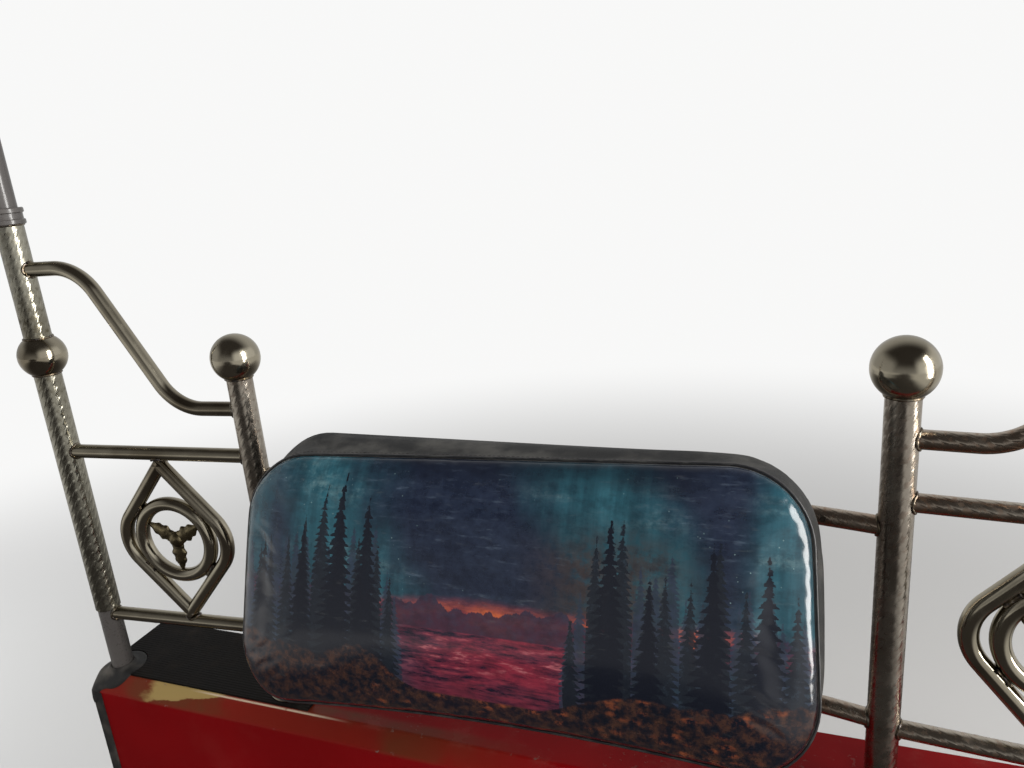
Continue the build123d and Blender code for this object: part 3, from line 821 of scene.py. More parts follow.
# Rails: the left bay's are plain bar, the right bay's and the bowed ones embossed
rails = {"lowZ": middleOf("centre_rail_lower", "z"), "highZ": middleOf("centre_rail_upper", "z"),
         "bow": 0.035, "segments": 40, "straightSteps": 24, "bowSteps": 60, "swanStep": 0.005}
for name, side in sides:
    bayMetal = railSteel if side > 0 else steel
    start, end = bay["endGap"], bayLength - bay["endGap"]
    for stem, height, node in (("lower_bar", bay["lowerZ"], "lower_rail"),
                               ("middle_bar", bay["middleZ"], "mid_rail")):
        path = [inBay(side, start + (bayLength - 2 * start) * part / rails["straightSteps"], height)
                for part in range(rails["straightSteps"] + 1)]
        bar = sweep(f"{stem}_{name}", path, railR, rails["segments"], bayMetal)
        settle(bar, "embossed_steel", f"{node}_{name}")
    corners = [inBay(side, start, bay["swanInnerZ"]), inBay(side, bay["swanInnerKnee"], bay["swanInnerZ"]),
               inBay(side, bayLength - bay["swanOuterKnee"], bay["swanOuterZ"]),
               inBay(side, end, bay["swanOuterZ"])]
    swan = sweep(f"swan_bar_{name}", routeThrough(corners, bay["swanR"], rails["swanStep"]), railR,
                 rails["segments"], bayMetal)
    settle(swan, "polished_steel", f"swan_rail_{name}")

bowR = (bay["postX"]**2 + rails["bow"]**2) / (2 * rails["bow"])
bowTurn = atan2(bay["postX"] - bay["endGap"], bowR - rails["bow"])
for name, height in (("upper", rails["highZ"]), ("lower", rails["lowZ"])):
    turns = [bowTurn * part / rails["bowSteps"] for part in range(-rails["bowSteps"], rails["bowSteps"] + 1)]
    path = [Vector((bowR * sin(turn), bowR * cos(turn) - (bowR - rails["bow"]), height)) for turn in turns]
    bar = sweep(f"bowed_bar_{name}", path, railR, rails["segments"], railSteel)
    settle(bar, "embossed_steel", f"centre_rail_{name}")


# Drop of each bay: two bent bars that meet inside each other at its top and its foot
drop = {"middle": bayLength / 2, "z": middleOf("ornament_ring_right", "z"), "halfWidth": 0.082,
        "halfHeight": 0.095, "cornerR": 0.043, "runOn": 0.0045, "step": 0.004, "ringR": 0.046,
        "ringSteps": 72, "segments": 36}


def makeDrop(name, side):
    top, foot = (inBay(side, drop["middle"], drop["z"] + up * drop["halfHeight"]) for up in (1, -1))
    both = bmesh.new()
    for hand in (1, -1):
        corner = inBay(side, drop["middle"] + hand * drop["halfWidth"], drop["z"])
        corners = [top + (top - corner).normalized() * drop["runOn"], corner,
                   foot + (foot - corner).normalized() * drop["runOn"]]
        half = sweep("drop_half", routeThrough(corners, drop["cornerR"], drop["step"]), railR,
                     drop["segments"], steel)
        both.from_mesh(half.data)
        bpy.data.objects.remove(half)
    mesh = bpy.data.meshes.new(f"drop_bar_{name}")
    both.to_mesh(mesh)
    both.free()
    return meshObject(f"drop_bar_{name}", mesh, steel, 40.0)


# Casting inside the ring: three scalloped leaves, each from a waist at the domed boss to the ring
flower = {"petals": 3, "turn": 30.0, "half": 0.0083, "waist": 0.0009, "scallop": 0.14, "lobes": 3.6,
          "phase": 0.42, "rootThick": 0.0021, "taper": 0.0008, "lift": 0.0016, "intoRing": 0.0006,
          "rows": 40, "roundSteps": 16, "bossSteps": 40,
          "boss": ((0.0, 0.0062), (0.0030, 0.0060), (0.0058, 0.0050), (0.0080, 0.0034), (0.0096, 0.0014),
                   (0.0102, 0.0), (0.0096, -0.0014), (0.0080, -0.0034), (0.0058, -0.0050),
                   (0.0030, -0.0060), (0.0, -0.0062))}


def makeFlower(name, centre, bayRun):
    facing = bayRun.cross(upward)
    reach = drop["ringR"] - railR + flower["intoRing"]
    work = bmesh.new()
    grids = []
    for petal in range(flower["petals"]):
        turn = radians(flower["turn"] + 360 / flower["petals"] * petal)
        along = bayRun * cos(turn) + upward * sin(turn)
        aside = along.cross(facing)
        grid = []
        for step in range(flower["rows"] + 1):
            part = step / flower["rows"]
            scallop = flower["scallop"] * cos(2 * pi * (part * flower["lobes"] + flower["phase"]))
            leafHalf = flower["half"] * max(sin(pi * part**0.8), 0.0) ** 0.75
            half = leafHalf * (1 + scallop) + flower["waist"]
            thick = flower["rootThick"] - flower["taper"] * part + flower["lift"] * sin(pi * part)
            grid.append([centre + along * (reach * part) + aside * (half * x) + facing * (thick * y)
                         for x, y in circle(flower["roundSteps"])])
        grids.append(grid)
    grids.append([[centre + (bayRun * x + upward * y) * radius + facing * rise
                   for x, y in circle(flower["bossSteps"])] for radius, rise in flower["boss"]])
    for grid in grids:
        part = gridMesh("flowerPart", grid, evenLayout(0.001, 0.001))
        work.from_mesh(part)
        bpy.data.meshes.remove(part)
    bmesh.ops.remove_doubles(work, verts=work.verts, dist=mergeDistance)
    bmesh.ops.holes_fill(work, edges=work.edges, sides=flower["bossSteps"])
    bmesh.ops.recalc_face_normals(work, faces=work.faces)
    mesh = bpy.data.meshes.new(f"ring_flower_{name}")
    work.to_mesh(mesh)
    work.free()
    return meshObject(f"ring_flower_{name}", mesh, castMetal, 45.0)


for name, side in sides:
    settle(makeDrop(name, side), "polished_steel", f"drop_frame_{name}")
    centre = inBay(side, drop["middle"], drop["z"])
    bayRun = (inBay(side, 1.0, 0.0) - inBay(side, 0.0, 0.0)).normalized()
    path = [centre + (bayRun * x + upward * y) * drop["ringR"] for x, y in circle(drop["ringSteps"])]
    ringBar = sweep(f"ring_bar_{name}", path, railR, drop["segments"], steel, True)
    settle(ringBar, "polished_steel", f"ornament_ring_{name}")
    settle(makeFlower(name, centre, bayRun), "polished_steel", f"ring_rosette_{name}")
print("stage: rails and ornaments made")


# Geometry Nodes recipes: a tree with named inputs, grown over a guide of points and edges
def startRecipe(name, inputs):
    tree = bpy.data.node_groups.new(name, "GeometryNodeTree")
    tree.interface.new_socket("Geometry", in_out="OUTPUT", socket_type="NodeSocketGeometry")
    tree.interface.new_socket("Guide", in_out="INPUT", socket_type="NodeSocketGeometry")
    for label, kind in inputs.items():
        tree.interface.new_socket(label, in_out="INPUT", socket_type="NodeSocket" + kind)
    work = Shade(tree)
    return work, work.node("NodeGroupInput").outputs()


def endRecipe(work, shape, finish):
    solid = work.node("GeometryNodeRealizeInstances", None, {0: shape})
    painted = work.node("GeometryNodeSetMaterial", None, {"Geometry": solid, "Material": finish})
    work.node("NodeGroupOutput", None, {0: painted})
    return work.tree


def guideMesh(name, lines, closed=True, facing=None):
    points, edges = [], []
    for line in lines:
        first = len(points)
        points += [tuple(point) for point in line]
        edges += [(first + step, first + step + 1) for step in range(len(line) - 1)]
        if closed and len(line) > 2:
            edges.append((first + len(line) - 1, first))
    mesh = bpy.data.meshes.new(name)
    mesh.from_pydata(points, edges, [])
    if facing is not None:
        arrows = mesh.attributes.new("facing", "FLOAT_VECTOR", "POINT")
        arrows.data.foreach_set("vector", [number for arrow in facing for number in arrow])
    return mesh


def grow(name, guide, recipe, values, smoothAngle):
    carrier = bpy.data.objects.new(name + "_guide", guide)
    scene.collection.objects.link(carrier)
    maker = carrier.modifiers.new("maker", "NODES")
    maker.node_group = recipe
    for socket in recipe.interface.items_tree:
        if socket.in_out == "INPUT" and socket.name in values:
            maker[socket.identifier] = values[socket.name]
    bpy.context.view_layer.update()
    made = bpy.data.meshes.new_from_object(carrier.evaluated_get(bpy.context.evaluated_depsgraph_get()))
    bpy.data.objects.remove(carrier)
    bpy.data.meshes.remove(guide)
    made.name = name
    return meshObject(name, made, None, smoothAngle)


# Weld bead: a round fillet of metal along the joint, lumped where each tack was laid
def makeBeadRecipe():
    work, given = startRecipe("weldBead", {"Bead Radius": "Float", "Lump": "Float", "Spacing": "Float",
                                           "Finish": "Material"})
    line = work.node("GeometryNodeMeshToCurve", None, {0: given["Guide"]})
    even = work.node("GeometryNodeResampleCurve", {"mode": "LENGTH"},
                     {"Curve": line, "Length": given["Spacing"]})
    ring = work.node("GeometryNodeCurvePrimitiveCircle", {"mode": "RADIUS"},
                     {"Resolution": 8, "Radius": given["Bead Radius"]})
    bead = work.node("GeometryNodeCurveToMesh", None,
                     {"Curve": even, "Profile Curve": ring, "Fill Caps": True})
    spot = work.node("GeometryNodeInputPosition")
    lumps = work.node("ShaderNodeTexNoise", None, {"Vector": spot, "Scale": 330.0, "Detail": 1.0})
    normal = work.node("GeometryNodeInputNormal")
    push = work.node("ShaderNodeVectorMath", {"operation": "SCALE"},
                     {0: normal, "Scale": (lumps - 0.5) * given["Lump"]})
    lumpy = work.node("GeometryNodeSetPosition", None, {"Geometry": bead, "Offset": push})
    return endRecipe(work, lumpy, given["Finish"])


# A bolt's head is a prism with a cap that draws in; both are shares of the head's height
bolt = {"prism": 0.72, "cap": 0.28, "capFoot": 0.985, "capSink": 0.00015, "washerSides": 28}


# Screws and bolts stand on the guide's points, each turned to face out
def makeBoltRecipe():
    work, given = startRecipe("hexBolt", {"Head Radius": "Float", "Head Height": "Float",
                                          "Washer Radius": "Float", "Washer Height": "Float",
                                          "Sides": "Int", "Dome": "Float", "Seed": "Int",
                                          "Finish": "Material"})
    washerHeight, headHeight, headRadius = given["Washer Height"], given["Head Height"], given["Head Radius"]
    washer = work.node("GeometryNodeMeshCylinder", {"fill_type": "NGON"},
                       {"Vertices": bolt["washerSides"], "Radius": given["Washer Radius"],
                        "Depth": washerHeight})
    head = work.node("GeometryNodeMeshCylinder", {"fill_type": "NGON"},
                     {"Vertices": given["Sides"], "Radius": headRadius, "Depth": headHeight * bolt["prism"]})
    cap = work.node("GeometryNodeMeshCone", {"fill_type": "NGON"},
                    {"Vertices": given["Sides"], "Radius Top": headRadius * given["Dome"],
                     "Radius Bottom": headRadius * bolt["capFoot"], "Depth": headHeight * bolt["cap"]})
    whole = work.node("GeometryNodeJoinGeometry")
    for part, lift in ((washer, washerHeight * 0.5),
                       (head, washerHeight + headHeight * (bolt["prism"] / 2)),
                       (cap, washerHeight + headHeight * bolt["prism"] - bolt["capSink"])):
        raised = work.node("GeometryNodeTransform", None,
                           {"Geometry": part, "Translation": work.join(0.0, 0.0, lift)})
        work.tree.links.new(raised.socket, whole.socket.node.inputs[0])
    arrow = work.node("GeometryNodeInputNamedAttribute", {"data_type": "FLOAT_VECTOR"}, {"Name": "facing"})
    facing = work.node("FunctionNodeAlignRotationToVector", {"axis": "Z"}, {"Vector": arrow})
    turn = work.node("FunctionNodeRandomValue", {"data_type": "FLOAT"},
                     {2: 0.0, 3: 6.28, "Seed": given["Seed"]}, 1)
    spin = work.node("FunctionNodeAxisAngleToRotation", None, {"Axis": (0, 0, 1), "Angle": turn})
    turned = work.node("FunctionNodeRotateRotation", {"rotation_space": "LOCAL"}, {0: facing, 1: spin})
    placed = work.node("GeometryNodeInstanceOnPoints", None,
                       {"Points": given["Guide"], "Instance": whole, "Rotation": turned})
    return endRecipe(work, placed, given["Finish"])


# Stitches and staples lie end to end along a line, each a short round that dips at both ends
def makeStitchRecipe():
    work, given = startRecipe("topStitch", {"Pitch": "Float", "Length": "Float", "Thread Radius": "Float",
                                            "Seed": "Int", "Finish": "Material"})
    line = work.node("GeometryNodeMeshToCurve", None, {0: given["Guide"]})
    spots = work.node("GeometryNodeCurveToPoints", {"mode": "LENGTH"},
                      {"Curve": line, "Length": given["Pitch"]})
    turn = spots.outputs()["Rotation"]
    bead = work.node("GeometryNodeMeshUVSphere", None, {"Segments": 6, "Rings": 5, "Radius": 1.0})
    size = work.join(given["Thread Radius"], given["Thread Radius"], given["Length"] * 0.5)
    bead = work.node("GeometryNodeTransform", None, {"Geometry": bead, "Scale": size})
    vary = work.node("FunctionNodeRandomValue", {"data_type": "FLOAT"},
                     {2: 0.86, 3: 1.10, "Seed": given["Seed"]}, 1)
    placed = work.node("GeometryNodeInstanceOnPoints", None,
                       {"Points": spots, "Instance": bead, "Rotation": turn, "Scale": vary})
    return endRecipe(work, placed, given["Finish"])


beadRecipe = makeBeadRecipe()
boltRecipe = makeBoltRecipe()
stitchRecipe = makeStitchRecipe()
print("stage: recipes made")


# Welds; the off values say how far the middle of a bead lies off the metal it joins
welds = {"rail": {"Bead Radius": 0.0015, "Lump": 0.0016, "Spacing": 0.0011},
         "tack": {"Bead Radius": 0.0017, "Lump": 0.0018, "Spacing": 0.0012},
         "neck": {"Bead Radius": 0.0012, "Lump": 0.0010, "Spacing": 0.0013},
         "offRail": 0.0003, "offPost": 0.0002, "saddleSteps": 48, "neckSteps": 60,
         "dropHalfLong": 0.0082, "dropHalfWide": 0.0068, "dropSteps": 40,
         "tackSlides": (-0.008, -0.004, 0.0, 0.004, 0.008), "tackOut": 0.0036, "tackSpread": 0.18,
         "offBall": 0.0004}


# The line where a tube meets an upright, found on the tube's surface point by point
def saddle(spot, direction, uprightR):
    radius, uprightR = railR + welds["offRail"], uprightR + welds["offPost"]
    side = direction.orthogonal().normalized()
    other = direction.cross(side)
    line = []
    for x, y in circle(welds["saddleSteps"]):
        start = (side * x + other * y) * radius
        flat = start - upward * start.dot(upward)
        slope = direction - upward * direction.dot(upward)
        a, b, c = slope.dot(slope), 2 * flat.dot(slope), flat.dot(flat) - uprightR**2
        inside = max(b * b - 4 * a * c, 0.0)
        line.append(spot + start + direction * ((-b + sqrt(inside)) / (2 * a)))
    return line


# Where a bay's rails meet its uprights, and where the drop's ends meet the rails
def railWeldLines(side):
    lines = []
    out = (inBay(side, 1, 0) - inBay(side, 0, 0)).normalized()
    post = Vector((side * bay["postX"], 0, 0))
    pillar = Vector((side * bay["pillarX"], bay["pillarY"], 0))
    bowed = Vector((-side * cos(bowTurn), sin(bowTurn), 0))
    for height, spot, direction, radius in (
            (bay["lowerZ"], post, out, postR), (bay["middleZ"], post, out, postR),
            (bay["swanInnerZ"], post, out, postR), (bay["lowerZ"], pillar, -out, uprights["pillarR"]),
            (bay["middleZ"], pillar, -out, sleeveR), (bay["swanOuterZ"], pillar, -out, sleeveR),
            (rails["lowZ"], post, bowed, postR), (rails["highZ"], post, bowed, postR)):
        lines.append(saddle(spot + upward * height, direction, radius))
    onRail = railR + welds["offPost"]
    for up, railZ in ((-1, bay["middleZ"]), (1, bay["lowerZ"])):
        loop = []
        for x, y in circle(welds["dropSteps"]):
            sideways = welds["dropHalfWide"] * y
            loop.append(inBay(side, drop["middle"] + welds["dropHalfLong"] * x,
                              railZ + up * sqrt(onRail**2 - sideways**2), sideways))
        lines.append(loop)
    return lines


# Short runs that tack the ring to the four straight legs of the drop, front and rear
def tackLines(side):
    lines = []
    legLength = hypot(drop["halfWidth"], drop["halfHeight"])
    reach = drop["halfWidth"] * drop["halfHeight"] / legLength - railR + welds["offPost"]
    for hand, up in ((1, 1), (1, -1), (-1, 1), (-1, -1)):
        aimX, aimZ = hand * drop["halfHeight"] / legLength, up * drop["halfWidth"] / legLength
        for face in (1, -1):
            lines.append([inBay(side, drop["middle"] + aimX * reach - aimZ * slide,
                                drop["z"] + aimZ * reach + aimX * slide,
                                face * (welds["tackOut"] + abs(slide) * welds["tackSpread"]))
                          for slide in welds["tackSlides"]])
    return lines


# Where the balls grip their uprights, and under the collar
def neckLines(side):
    pillar, post = (side * bay["pillarX"], bay["pillarY"]), (side * bay["postX"], 0)
    sleeveSeat = sqrt(ball["radius"]**2 - sleeveR**2)
    postSeat = sqrt(ball["radius"]**2 - postR**2)
    hoops = ((pillar, sleeveR + welds["offBall"], ball["pillarZ"] - sleeveSeat),
             (pillar, sleeveR + welds["offBall"], ball["pillarZ"] + sleeveSeat),
             (pillar, sleeveR + welds["offPost"], uprights["sleeveHigh"] - welds["offBall"]),
             (post, postR + welds["offBall"], ball["postZ"] - postSeat))
    return [[(spot[0] + radius * x, spot[1] + radius * y, height) for x, y in circle(welds["neckSteps"])]
            for spot, radius, height in hoops]


def weld(name, kind, lines, closed=True):
    guide = guideMesh(name + "_lines", lines, closed)
    settle(grow(name, guide, beadRecipe, {**welds[kind], "Finish": weldMetal}, 50.0), "polished_steel")


for name, side in sides:
    weld(f"weld_beads_{name}", "rail", railWeldLines(side))
    weld(f"ring_tacks_{name}", "tack", tackLines(side), False)
    weld(f"neck_beads_{name}", "neck", neckLines(side))
print("stage: welds made")


# Rounded rectangle in the backrest's own axes, from the right side round over the top
def restLoop(inset, behind):
    halfWidth, halfHeight = rest["halfWidth"] - inset, rest["halfHeight"] - inset
    corner = rest["cornerR"] - inset
    points = []
    quarters = ((1, 1), (-1, 1), (-1, -1), (1, -1))
    for quarter, (signX, signUp) in enumerate(quarters):
        middleX, middleUp = signX * (halfWidth - corner), signUp * (halfHeight - corner)
        for step in range(rest["cornerSteps"]):
            angle = pi / 2 * (quarter + step / rest["cornerSteps"])
            points.append((middleX + corner * cos(angle), middleUp + corner * sin(angle)))
        signX, signUp = quarters[(quarter + 1) % 4]
        nextX, nextUp = signX * (halfWidth - corner), signUp * (halfHeight - corner)
        angle = pi / 2 * (quarter + 1)
        steps = rest["longSteps"] if quarter % 2 == 0 else rest["shortSteps"]
        for step in range(steps):
            part = step / steps
            points.append((middleX * (1 - part) + nextX * part + corner * cos(angle),
                           middleUp * (1 - part) + nextUp * part + corner * sin(angle)))
    return [fromRest(x, up, behind) for x, up in points]


# Stack of such loops, one for each pair of inset and depth behind the front
def restShell(name, stack, wrapRows=False):
    grid = [restLoop(inset, behind) for inset, behind in stack]
    return gridMesh(name, grid, evenLayout(0.01, 0.01), wrapRows)


def applied(piece):
    bpy.context.view_layer.update()
    made = bpy.data.meshes.new_from_object(piece.evaluated_get(bpy.context.evaluated_depsgraph_get()))
    piece.modifiers.clear()
    piece.data = made


def meshPoints(mesh):
    flat = np.empty(len(mesh.vertices) * 3)
    mesh.vertices.foreach_get("co", flat)
    return flat.reshape(-1, 3)


# Rows: across, up and behind, in the backrest's own axes
restAxes = np.array([(1, 0, 0), tuple(restUp), tuple(restBack)])
restStart = np.array(tuple(restOrigin))


def easing(values, low, high):
    part = np.clip((values - low) / (high - low), 0.0, 1.0)
    return part * part * (3 - 2 * part)


# How far a point lies inside the cushion's rounded outline
def insideOutline(local):
    overX = np.abs(local[:, 0]) - (rest["halfWidth"] - rest["cornerR"])
    overUp = np.abs(local[:, 1]) - (rest["halfHeight"] - rest["cornerR"])
    outside = np.hypot(np.maximum(overX, 0), np.maximum(overUp, 0)) + np.minimum(np.maximum(overX, overUp), 0)
    return rest["cornerR"] - outside


# A slow random field over the face, from -1 to 1, with its grain across and up
def fieldOver(local, grainX, grainUp, level):
    return np.array([noise.noise(Vector((x / grainX, up / grainUp, level))) for x, up in local[:, :2]])


# Cushion: the cover starts a little small, the cloth solver blows it up, and then it is sewn
cushion = {"voxel": 0.004, "pressure": 4.0, "frames": 20, "quality": 5, "pinnedBehind": 0.044,
           "cap": 0.0070, "sideCap": 0.0035, "seam": 0.009,
           "sagTurn": 2.25, "sagDrop": 0.0055, "sagDepth": 0.050, "spread": 0.010, "footSpread": 0.012,
           "stretchRight": 0.006, "arch": 0.0075, "archHalf": 0.168, "slump": 0.0045,
           "groove": 0.0013, "grooveHalf": 0.0024, "pucker": 0.00036, "puckerPitch": 0.0078,
           "foldPitch": 0.031, "foldDepth": 0.0006, "slack": 0.0016, "ridgeX": 0.19, "ridgeUp": 0.054,
           "stack": ((-0.0074, 0.0516), (-0.0080, 0.0500), (-0.0078, 0.0460), (-0.0066, 0.0380),
                     (-0.0048, 0.0300), (-0.0030, 0.0220), (-0.0012, 0.0140), (0.0004, 0.0090),
                     (0.0030, 0.0047), (0.0060, 0.0014), (0.0100, -0.0017), (0.0150, -0.0045),
                     (0.0220, -0.0069), (0.0300, -0.0084), (0.0400, -0.0090))}


# The foam has settled on its board: the front hangs lower to the left, its foot arches and its
# left shoulder slumps
def sagged(x, up, behind):
    hold = max(0.0, 1.0 - behind / cushion["sagDepth"]) ** 0.7
    turn = radians(cushion["sagTurn"]) * hold
    upShare = up / rest["halfHeight"]
    wide = 1.0 + (cushion["spread"] - cushion["footSpread"] * up / rest["halfHeight"]) * hold
    wide += cushion["stretchRight"] / rest["halfWidth"] * hold * (x > 0)
    foot = min(max(0.25 - upShare, 0.0) / 1.25, 1.0)
    arch = cushion["arch"] * max(1.0 - (x / cushion["archHalf"]) ** 2, -0.75) * foot ** 1.4
    shoulder = max(-x / rest["halfWidth"], 0.0) ** 3 * max(upShare, 0.0) ** 2 * cushion["slump"]
    lower = arch - shoulder * 0.6 - cushion["sagDrop"]
    return (x * wide * cos(turn) - up * sin(turn) + shoulder * hold,
            x * sin(turn) + up * cos(turn) + lower * hold, behind)


def blownBy(pad, local):
    before = meshPoints(pad.data)
    pins = pad.vertex_groups.new(name="pins")
    pins.add([int(spot) for spot in np.nonzero(local[:, 2] > cushion["pinnedBehind"])[0]], 1.0, "REPLACE")
    cloth = pad.modifiers.new("cover", "CLOTH")
    cloth.settings.vertex_group_mass = "pins"
    cloth.settings.use_pressure = True
    cloth.settings.uniform_pressure_force = cushion["pressure"]
    cloth.settings.effector_weights.gravity = 0
    cloth.settings.quality = cushion["quality"]
    cloth.point_cache.frame_start, cloth.point_cache.frame_end = 1, cushion["frames"]
    for frameNumber in range(1, cushion["frames"] + 1):
        scene.frame_set(frameNumber)
    applied(pad)
    moved = meshPoints(pad.data) - before
    scene.frame_set(1)
    return moved


# The cover keeps each point's move under a cap that eases out towards the seam and the board
def blowUp(pad):
    even = pad.modifiers.new("even", "REMESH")
    even.mode, even.voxel_size = "VOXEL", cushion["voxel"]
    applied(pad)
    before = meshPoints(pad.data)
    local = (before - restStart) @ restAxes.T
    behind = local[:, 2]
    moved = blownBy(pad, local)
    far = np.linalg.norm(moved, axis=1)
    print("stage: cushion blown up, furthest move", round(float(far.max()) * 1000, 1), "mm")
    frontCap = cushion["cap"] * easing(insideOutline(local), -0.002, 0.085) ** 0.8
    sideCap = cushion["sideCap"] * easing(behind, cushion["seam"], 0.022) * easing(-behind, -0.048, -0.034)
    allowed = np.where(behind < cushion["seam"], frontCap, sideCap)
    keep = allowed * np.tanh(far / np.maximum(allowed, 1e-6)) / np.maximum(far, 1e-9)
    pad.data.vertices.foreach_set("co", (before + moved * keep[:, None]).ravel())
    finer = pad.modifiers.new("finer", "SUBSURF")
    finer.levels = finer.render_levels = 1
    applied(pad)


# The seam pulls a groove all round; the front puckers a little where it is gathered into it
def sewSeam(pad):
    local = (meshPoints(pad.data) - restStart) @ restAxes.T
    inside, onFront = insideOutline(local), local[:, 2] < cushion["seam"]
    gap = (local[:, 2] - cushion["seam"]) / cushion["grooveHalf"]
    pull = cushion["groove"] * np.exp(-gap * gap)
    ripple = fieldOver(local, cushion["puckerPitch"], cushion["puckerPitch"], 3.1)
    fold = fieldOver(local, cushion["foldPitch"], cushion["foldPitch"], 8.4)
    gather = np.exp(-((inside - 0.006) / 0.009) ** 2) * onFront
    lift = (ripple * cushion["pucker"] * (1 + fold) + fold * cushion["foldDepth"]) * gather
    away = np.stack([local[:, 0] - np.clip(local[:, 0], -cushion["ridgeX"], cushion["ridgeX"]),
                     local[:, 1] - np.clip(local[:, 1], -cushion["ridgeUp"], cushion["ridgeUp"]),
                     np.zeros(len(local))], axis=1)
    away /= np.maximum(np.linalg.norm(away, axis=1), 1e-9)[:, None]
    slack = fieldOver(local, 0.16, 0.07, 1.7) * cushion["slack"]
    slack *= easing(inside, 0.01, 0.05) * onFront
    local = local - away * (pull - lift * 0.5)[:, None]
    local[:, 2] -= lift * 0.8 + slack
    local = np.array([sagged(*spot) for spot in local])
    pad.data.vertices.foreach_set("co", (local @ restAxes + restStart).ravel())
    pad.data.materials.clear()
    pad.data.materials.append(printedVinyl)
    pad.data.shade_smooth()


pad = bpy.data.objects.new("seat_back_cover", closedUp(restShell("cushionBlank", cushion["stack"])))
scene.collection.objects.link(pad)
blowUp(pad)
sewSeam(pad)
settle(pad, "printed_vinyl", "backrest_cushion")


# Seam cord, and the topstitches just behind it
seam = {"cordR": 0.0011, "cordInset": 0.0004, "cordSegments": 10, "stitchBehind": 0.0165, "castFrom": 0.03,
        "stitch": {"Pitch": 0.0044, "Length": 0.0032, "Thread Radius": 0.00042, "Seed": 4}}
path = [fromRest(*sagged(*toRest(spot))) for spot in restLoop(seam["cordInset"], cushion["seam"])]
settle(sweep("seam_cord", path, seam["cordR"], seam["cordSegments"], pipingVinyl, True), "printed_vinyl")

# The stitch line is cast onto the swollen cover from outside it
bpy.context.view_layer.update()
stitchLine = []
for start in restLoop(-seam["castFrom"], seam["stitchBehind"]):
    x, up, behind = toRest(start)
    inner = fromRest(max(-cushion["ridgeX"], min(cushion["ridgeX"], x)),
                     max(-cushion["ridgeUp"], min(cushion["ridgeUp"], up)), behind)
    hit, spot, normal = pad.ray_cast(start, (inner - start).normalized())[:3]
    stitchLine.append(spot + normal * 0.0001 if hit else start)
settle(grow("top_stitches", guideMesh("stitchLine", [stitchLine]), stitchRecipe,
            {**seam["stitch"], "Finish": thread}, 60.0), "printed_vinyl")
print("stage: cushion sewn,", len(pad.data.polygons), "faces")


# The cover's edge turns back over the board, wrinkled, and is stapled there
turnBack = {"stack": ((-0.0072, 0.0506), (-0.0052, 0.0530), (-0.0032, 0.0560), (-0.0028, 0.0600),
                      (-0.0030, 0.0636), (-0.0020, 0.0650), (0.0010, 0.0655), (0.0100, 0.0653),
                      (0.0215, 0.0651), (0.0220, 0.0646), (0.0215, 0.0641), (0.0060, 0.0641),
                      (-0.0006, 0.0641), (-0.0019, 0.0628), (-0.0019, 0.0560), (-0.0040, 0.0525),
                      (-0.0062, 0.0510)),
            "wrinkle": 0.0007, "wrinklePitch": 0.012, "wrinkleBehind": 0.0644,
            "stapleInset": 0.012, "stapleBehind": 0.0662,
            "staple": {"Pitch": 0.031, "Length": 0.0105, "Thread Radius": 0.0006, "Seed": 9}}
edge = restShell("turned_edge", turnBack["stack"], True)
for vertex in edge.vertices:
    x, up, behind = toRest(vertex.co)
    if behind > turnBack["wrinkleBehind"]:
        wave = noise.noise(Vector((x / turnBack["wrinklePitch"], up / turnBack["wrinklePitch"], 5.0)))
        vertex.co += restBack * (0.4 + wave) * turnBack["wrinkle"]
settle(meshObject("turned_edge", closedUp(edge), returnVinyl, 50.0), "printed_vinyl")
staples = guideMesh("stapleLine", [restLoop(turnBack["stapleInset"], turnBack["stapleBehind"])])
settle(grow("board_staples", staples, stitchRecipe, {**turnBack["staple"], "Finish": zinc}, 60.0), "plywood")
print("stage: board covered")


# Fasteners, each row of them on points that face one way
bolts = {"floorX": 0.540, "floorY": 0.088, "floorZ": 0.0015, "footCircle": 0.023, "footZ": 0.405,
         "footScrews": 3, "bracketX": 0.160, "bracketUp": 0.062, "bracketAcross": 0.0095,
         "bracketBehind": 0.068,
         "floor": {"Head Radius": 0.0072, "Head Height": 0.0053, "Washer Radius": 0.0085,
                   "Washer Height": 0.0016, "Sides": 6, "Dome": 0.86, "Seed": 3},
         "foot": {"Head Radius": 0.0042, "Head Height": 0.0026, "Washer Radius": 0.0043,
                  "Washer Height": 0.0003, "Sides": 20, "Dome": 0.62, "Seed": 5},
         "bracket": {"Head Radius": 0.0056, "Head Height": 0.0040, "Washer Radius": 0.0062,
                     "Washer Height": 0.0012, "Sides": 6, "Dome": 0.84, "Seed": 7}}


def fasten(name, kind, spots, facing, smoothAngle, slotName):
    guide = guideMesh(name + "_spots", [[spot] for spot in spots], False, [tuple(facing)] * len(spots))
    settle(grow(name, guide, boltRecipe, {**bolts[kind], "Finish": zinc}, smoothAngle), slotName)


fasten("floor_bolts", "floor",
       [(x * bolts["floorX"], y * bolts["floorY"], bolts["floorZ"]) for x in (1, -1) for y in (1, -1)],
       upward, 25.0, "polished_steel")
turns = [radians(90 + 360 / bolts["footScrews"] * screw) for screw in range(bolts["footScrews"])]
ring = [(bolts["footCircle"] * cos(turn), bolts["footCircle"] * sin(turn)) for turn in turns]
fasten("foot_screws", "foot",
       [(side * bay["postX"] + x, y, bolts["footZ"]) for name, side in sides for x, y in ring],
       upward, 40.0, "polished_steel")
fasten("bracket_bolts", "bracket",
       [fromRest(side * bolts["bracketX"] + hand * bolts["bracketAcross"], up * bolts["bracketUp"],
                 bolts["bracketBehind"]) for name, side in sides for hand in (1, -1) for up in (1, -1)],
       restBack, 25.0, "black_tube")
print("stage: fasteners made")


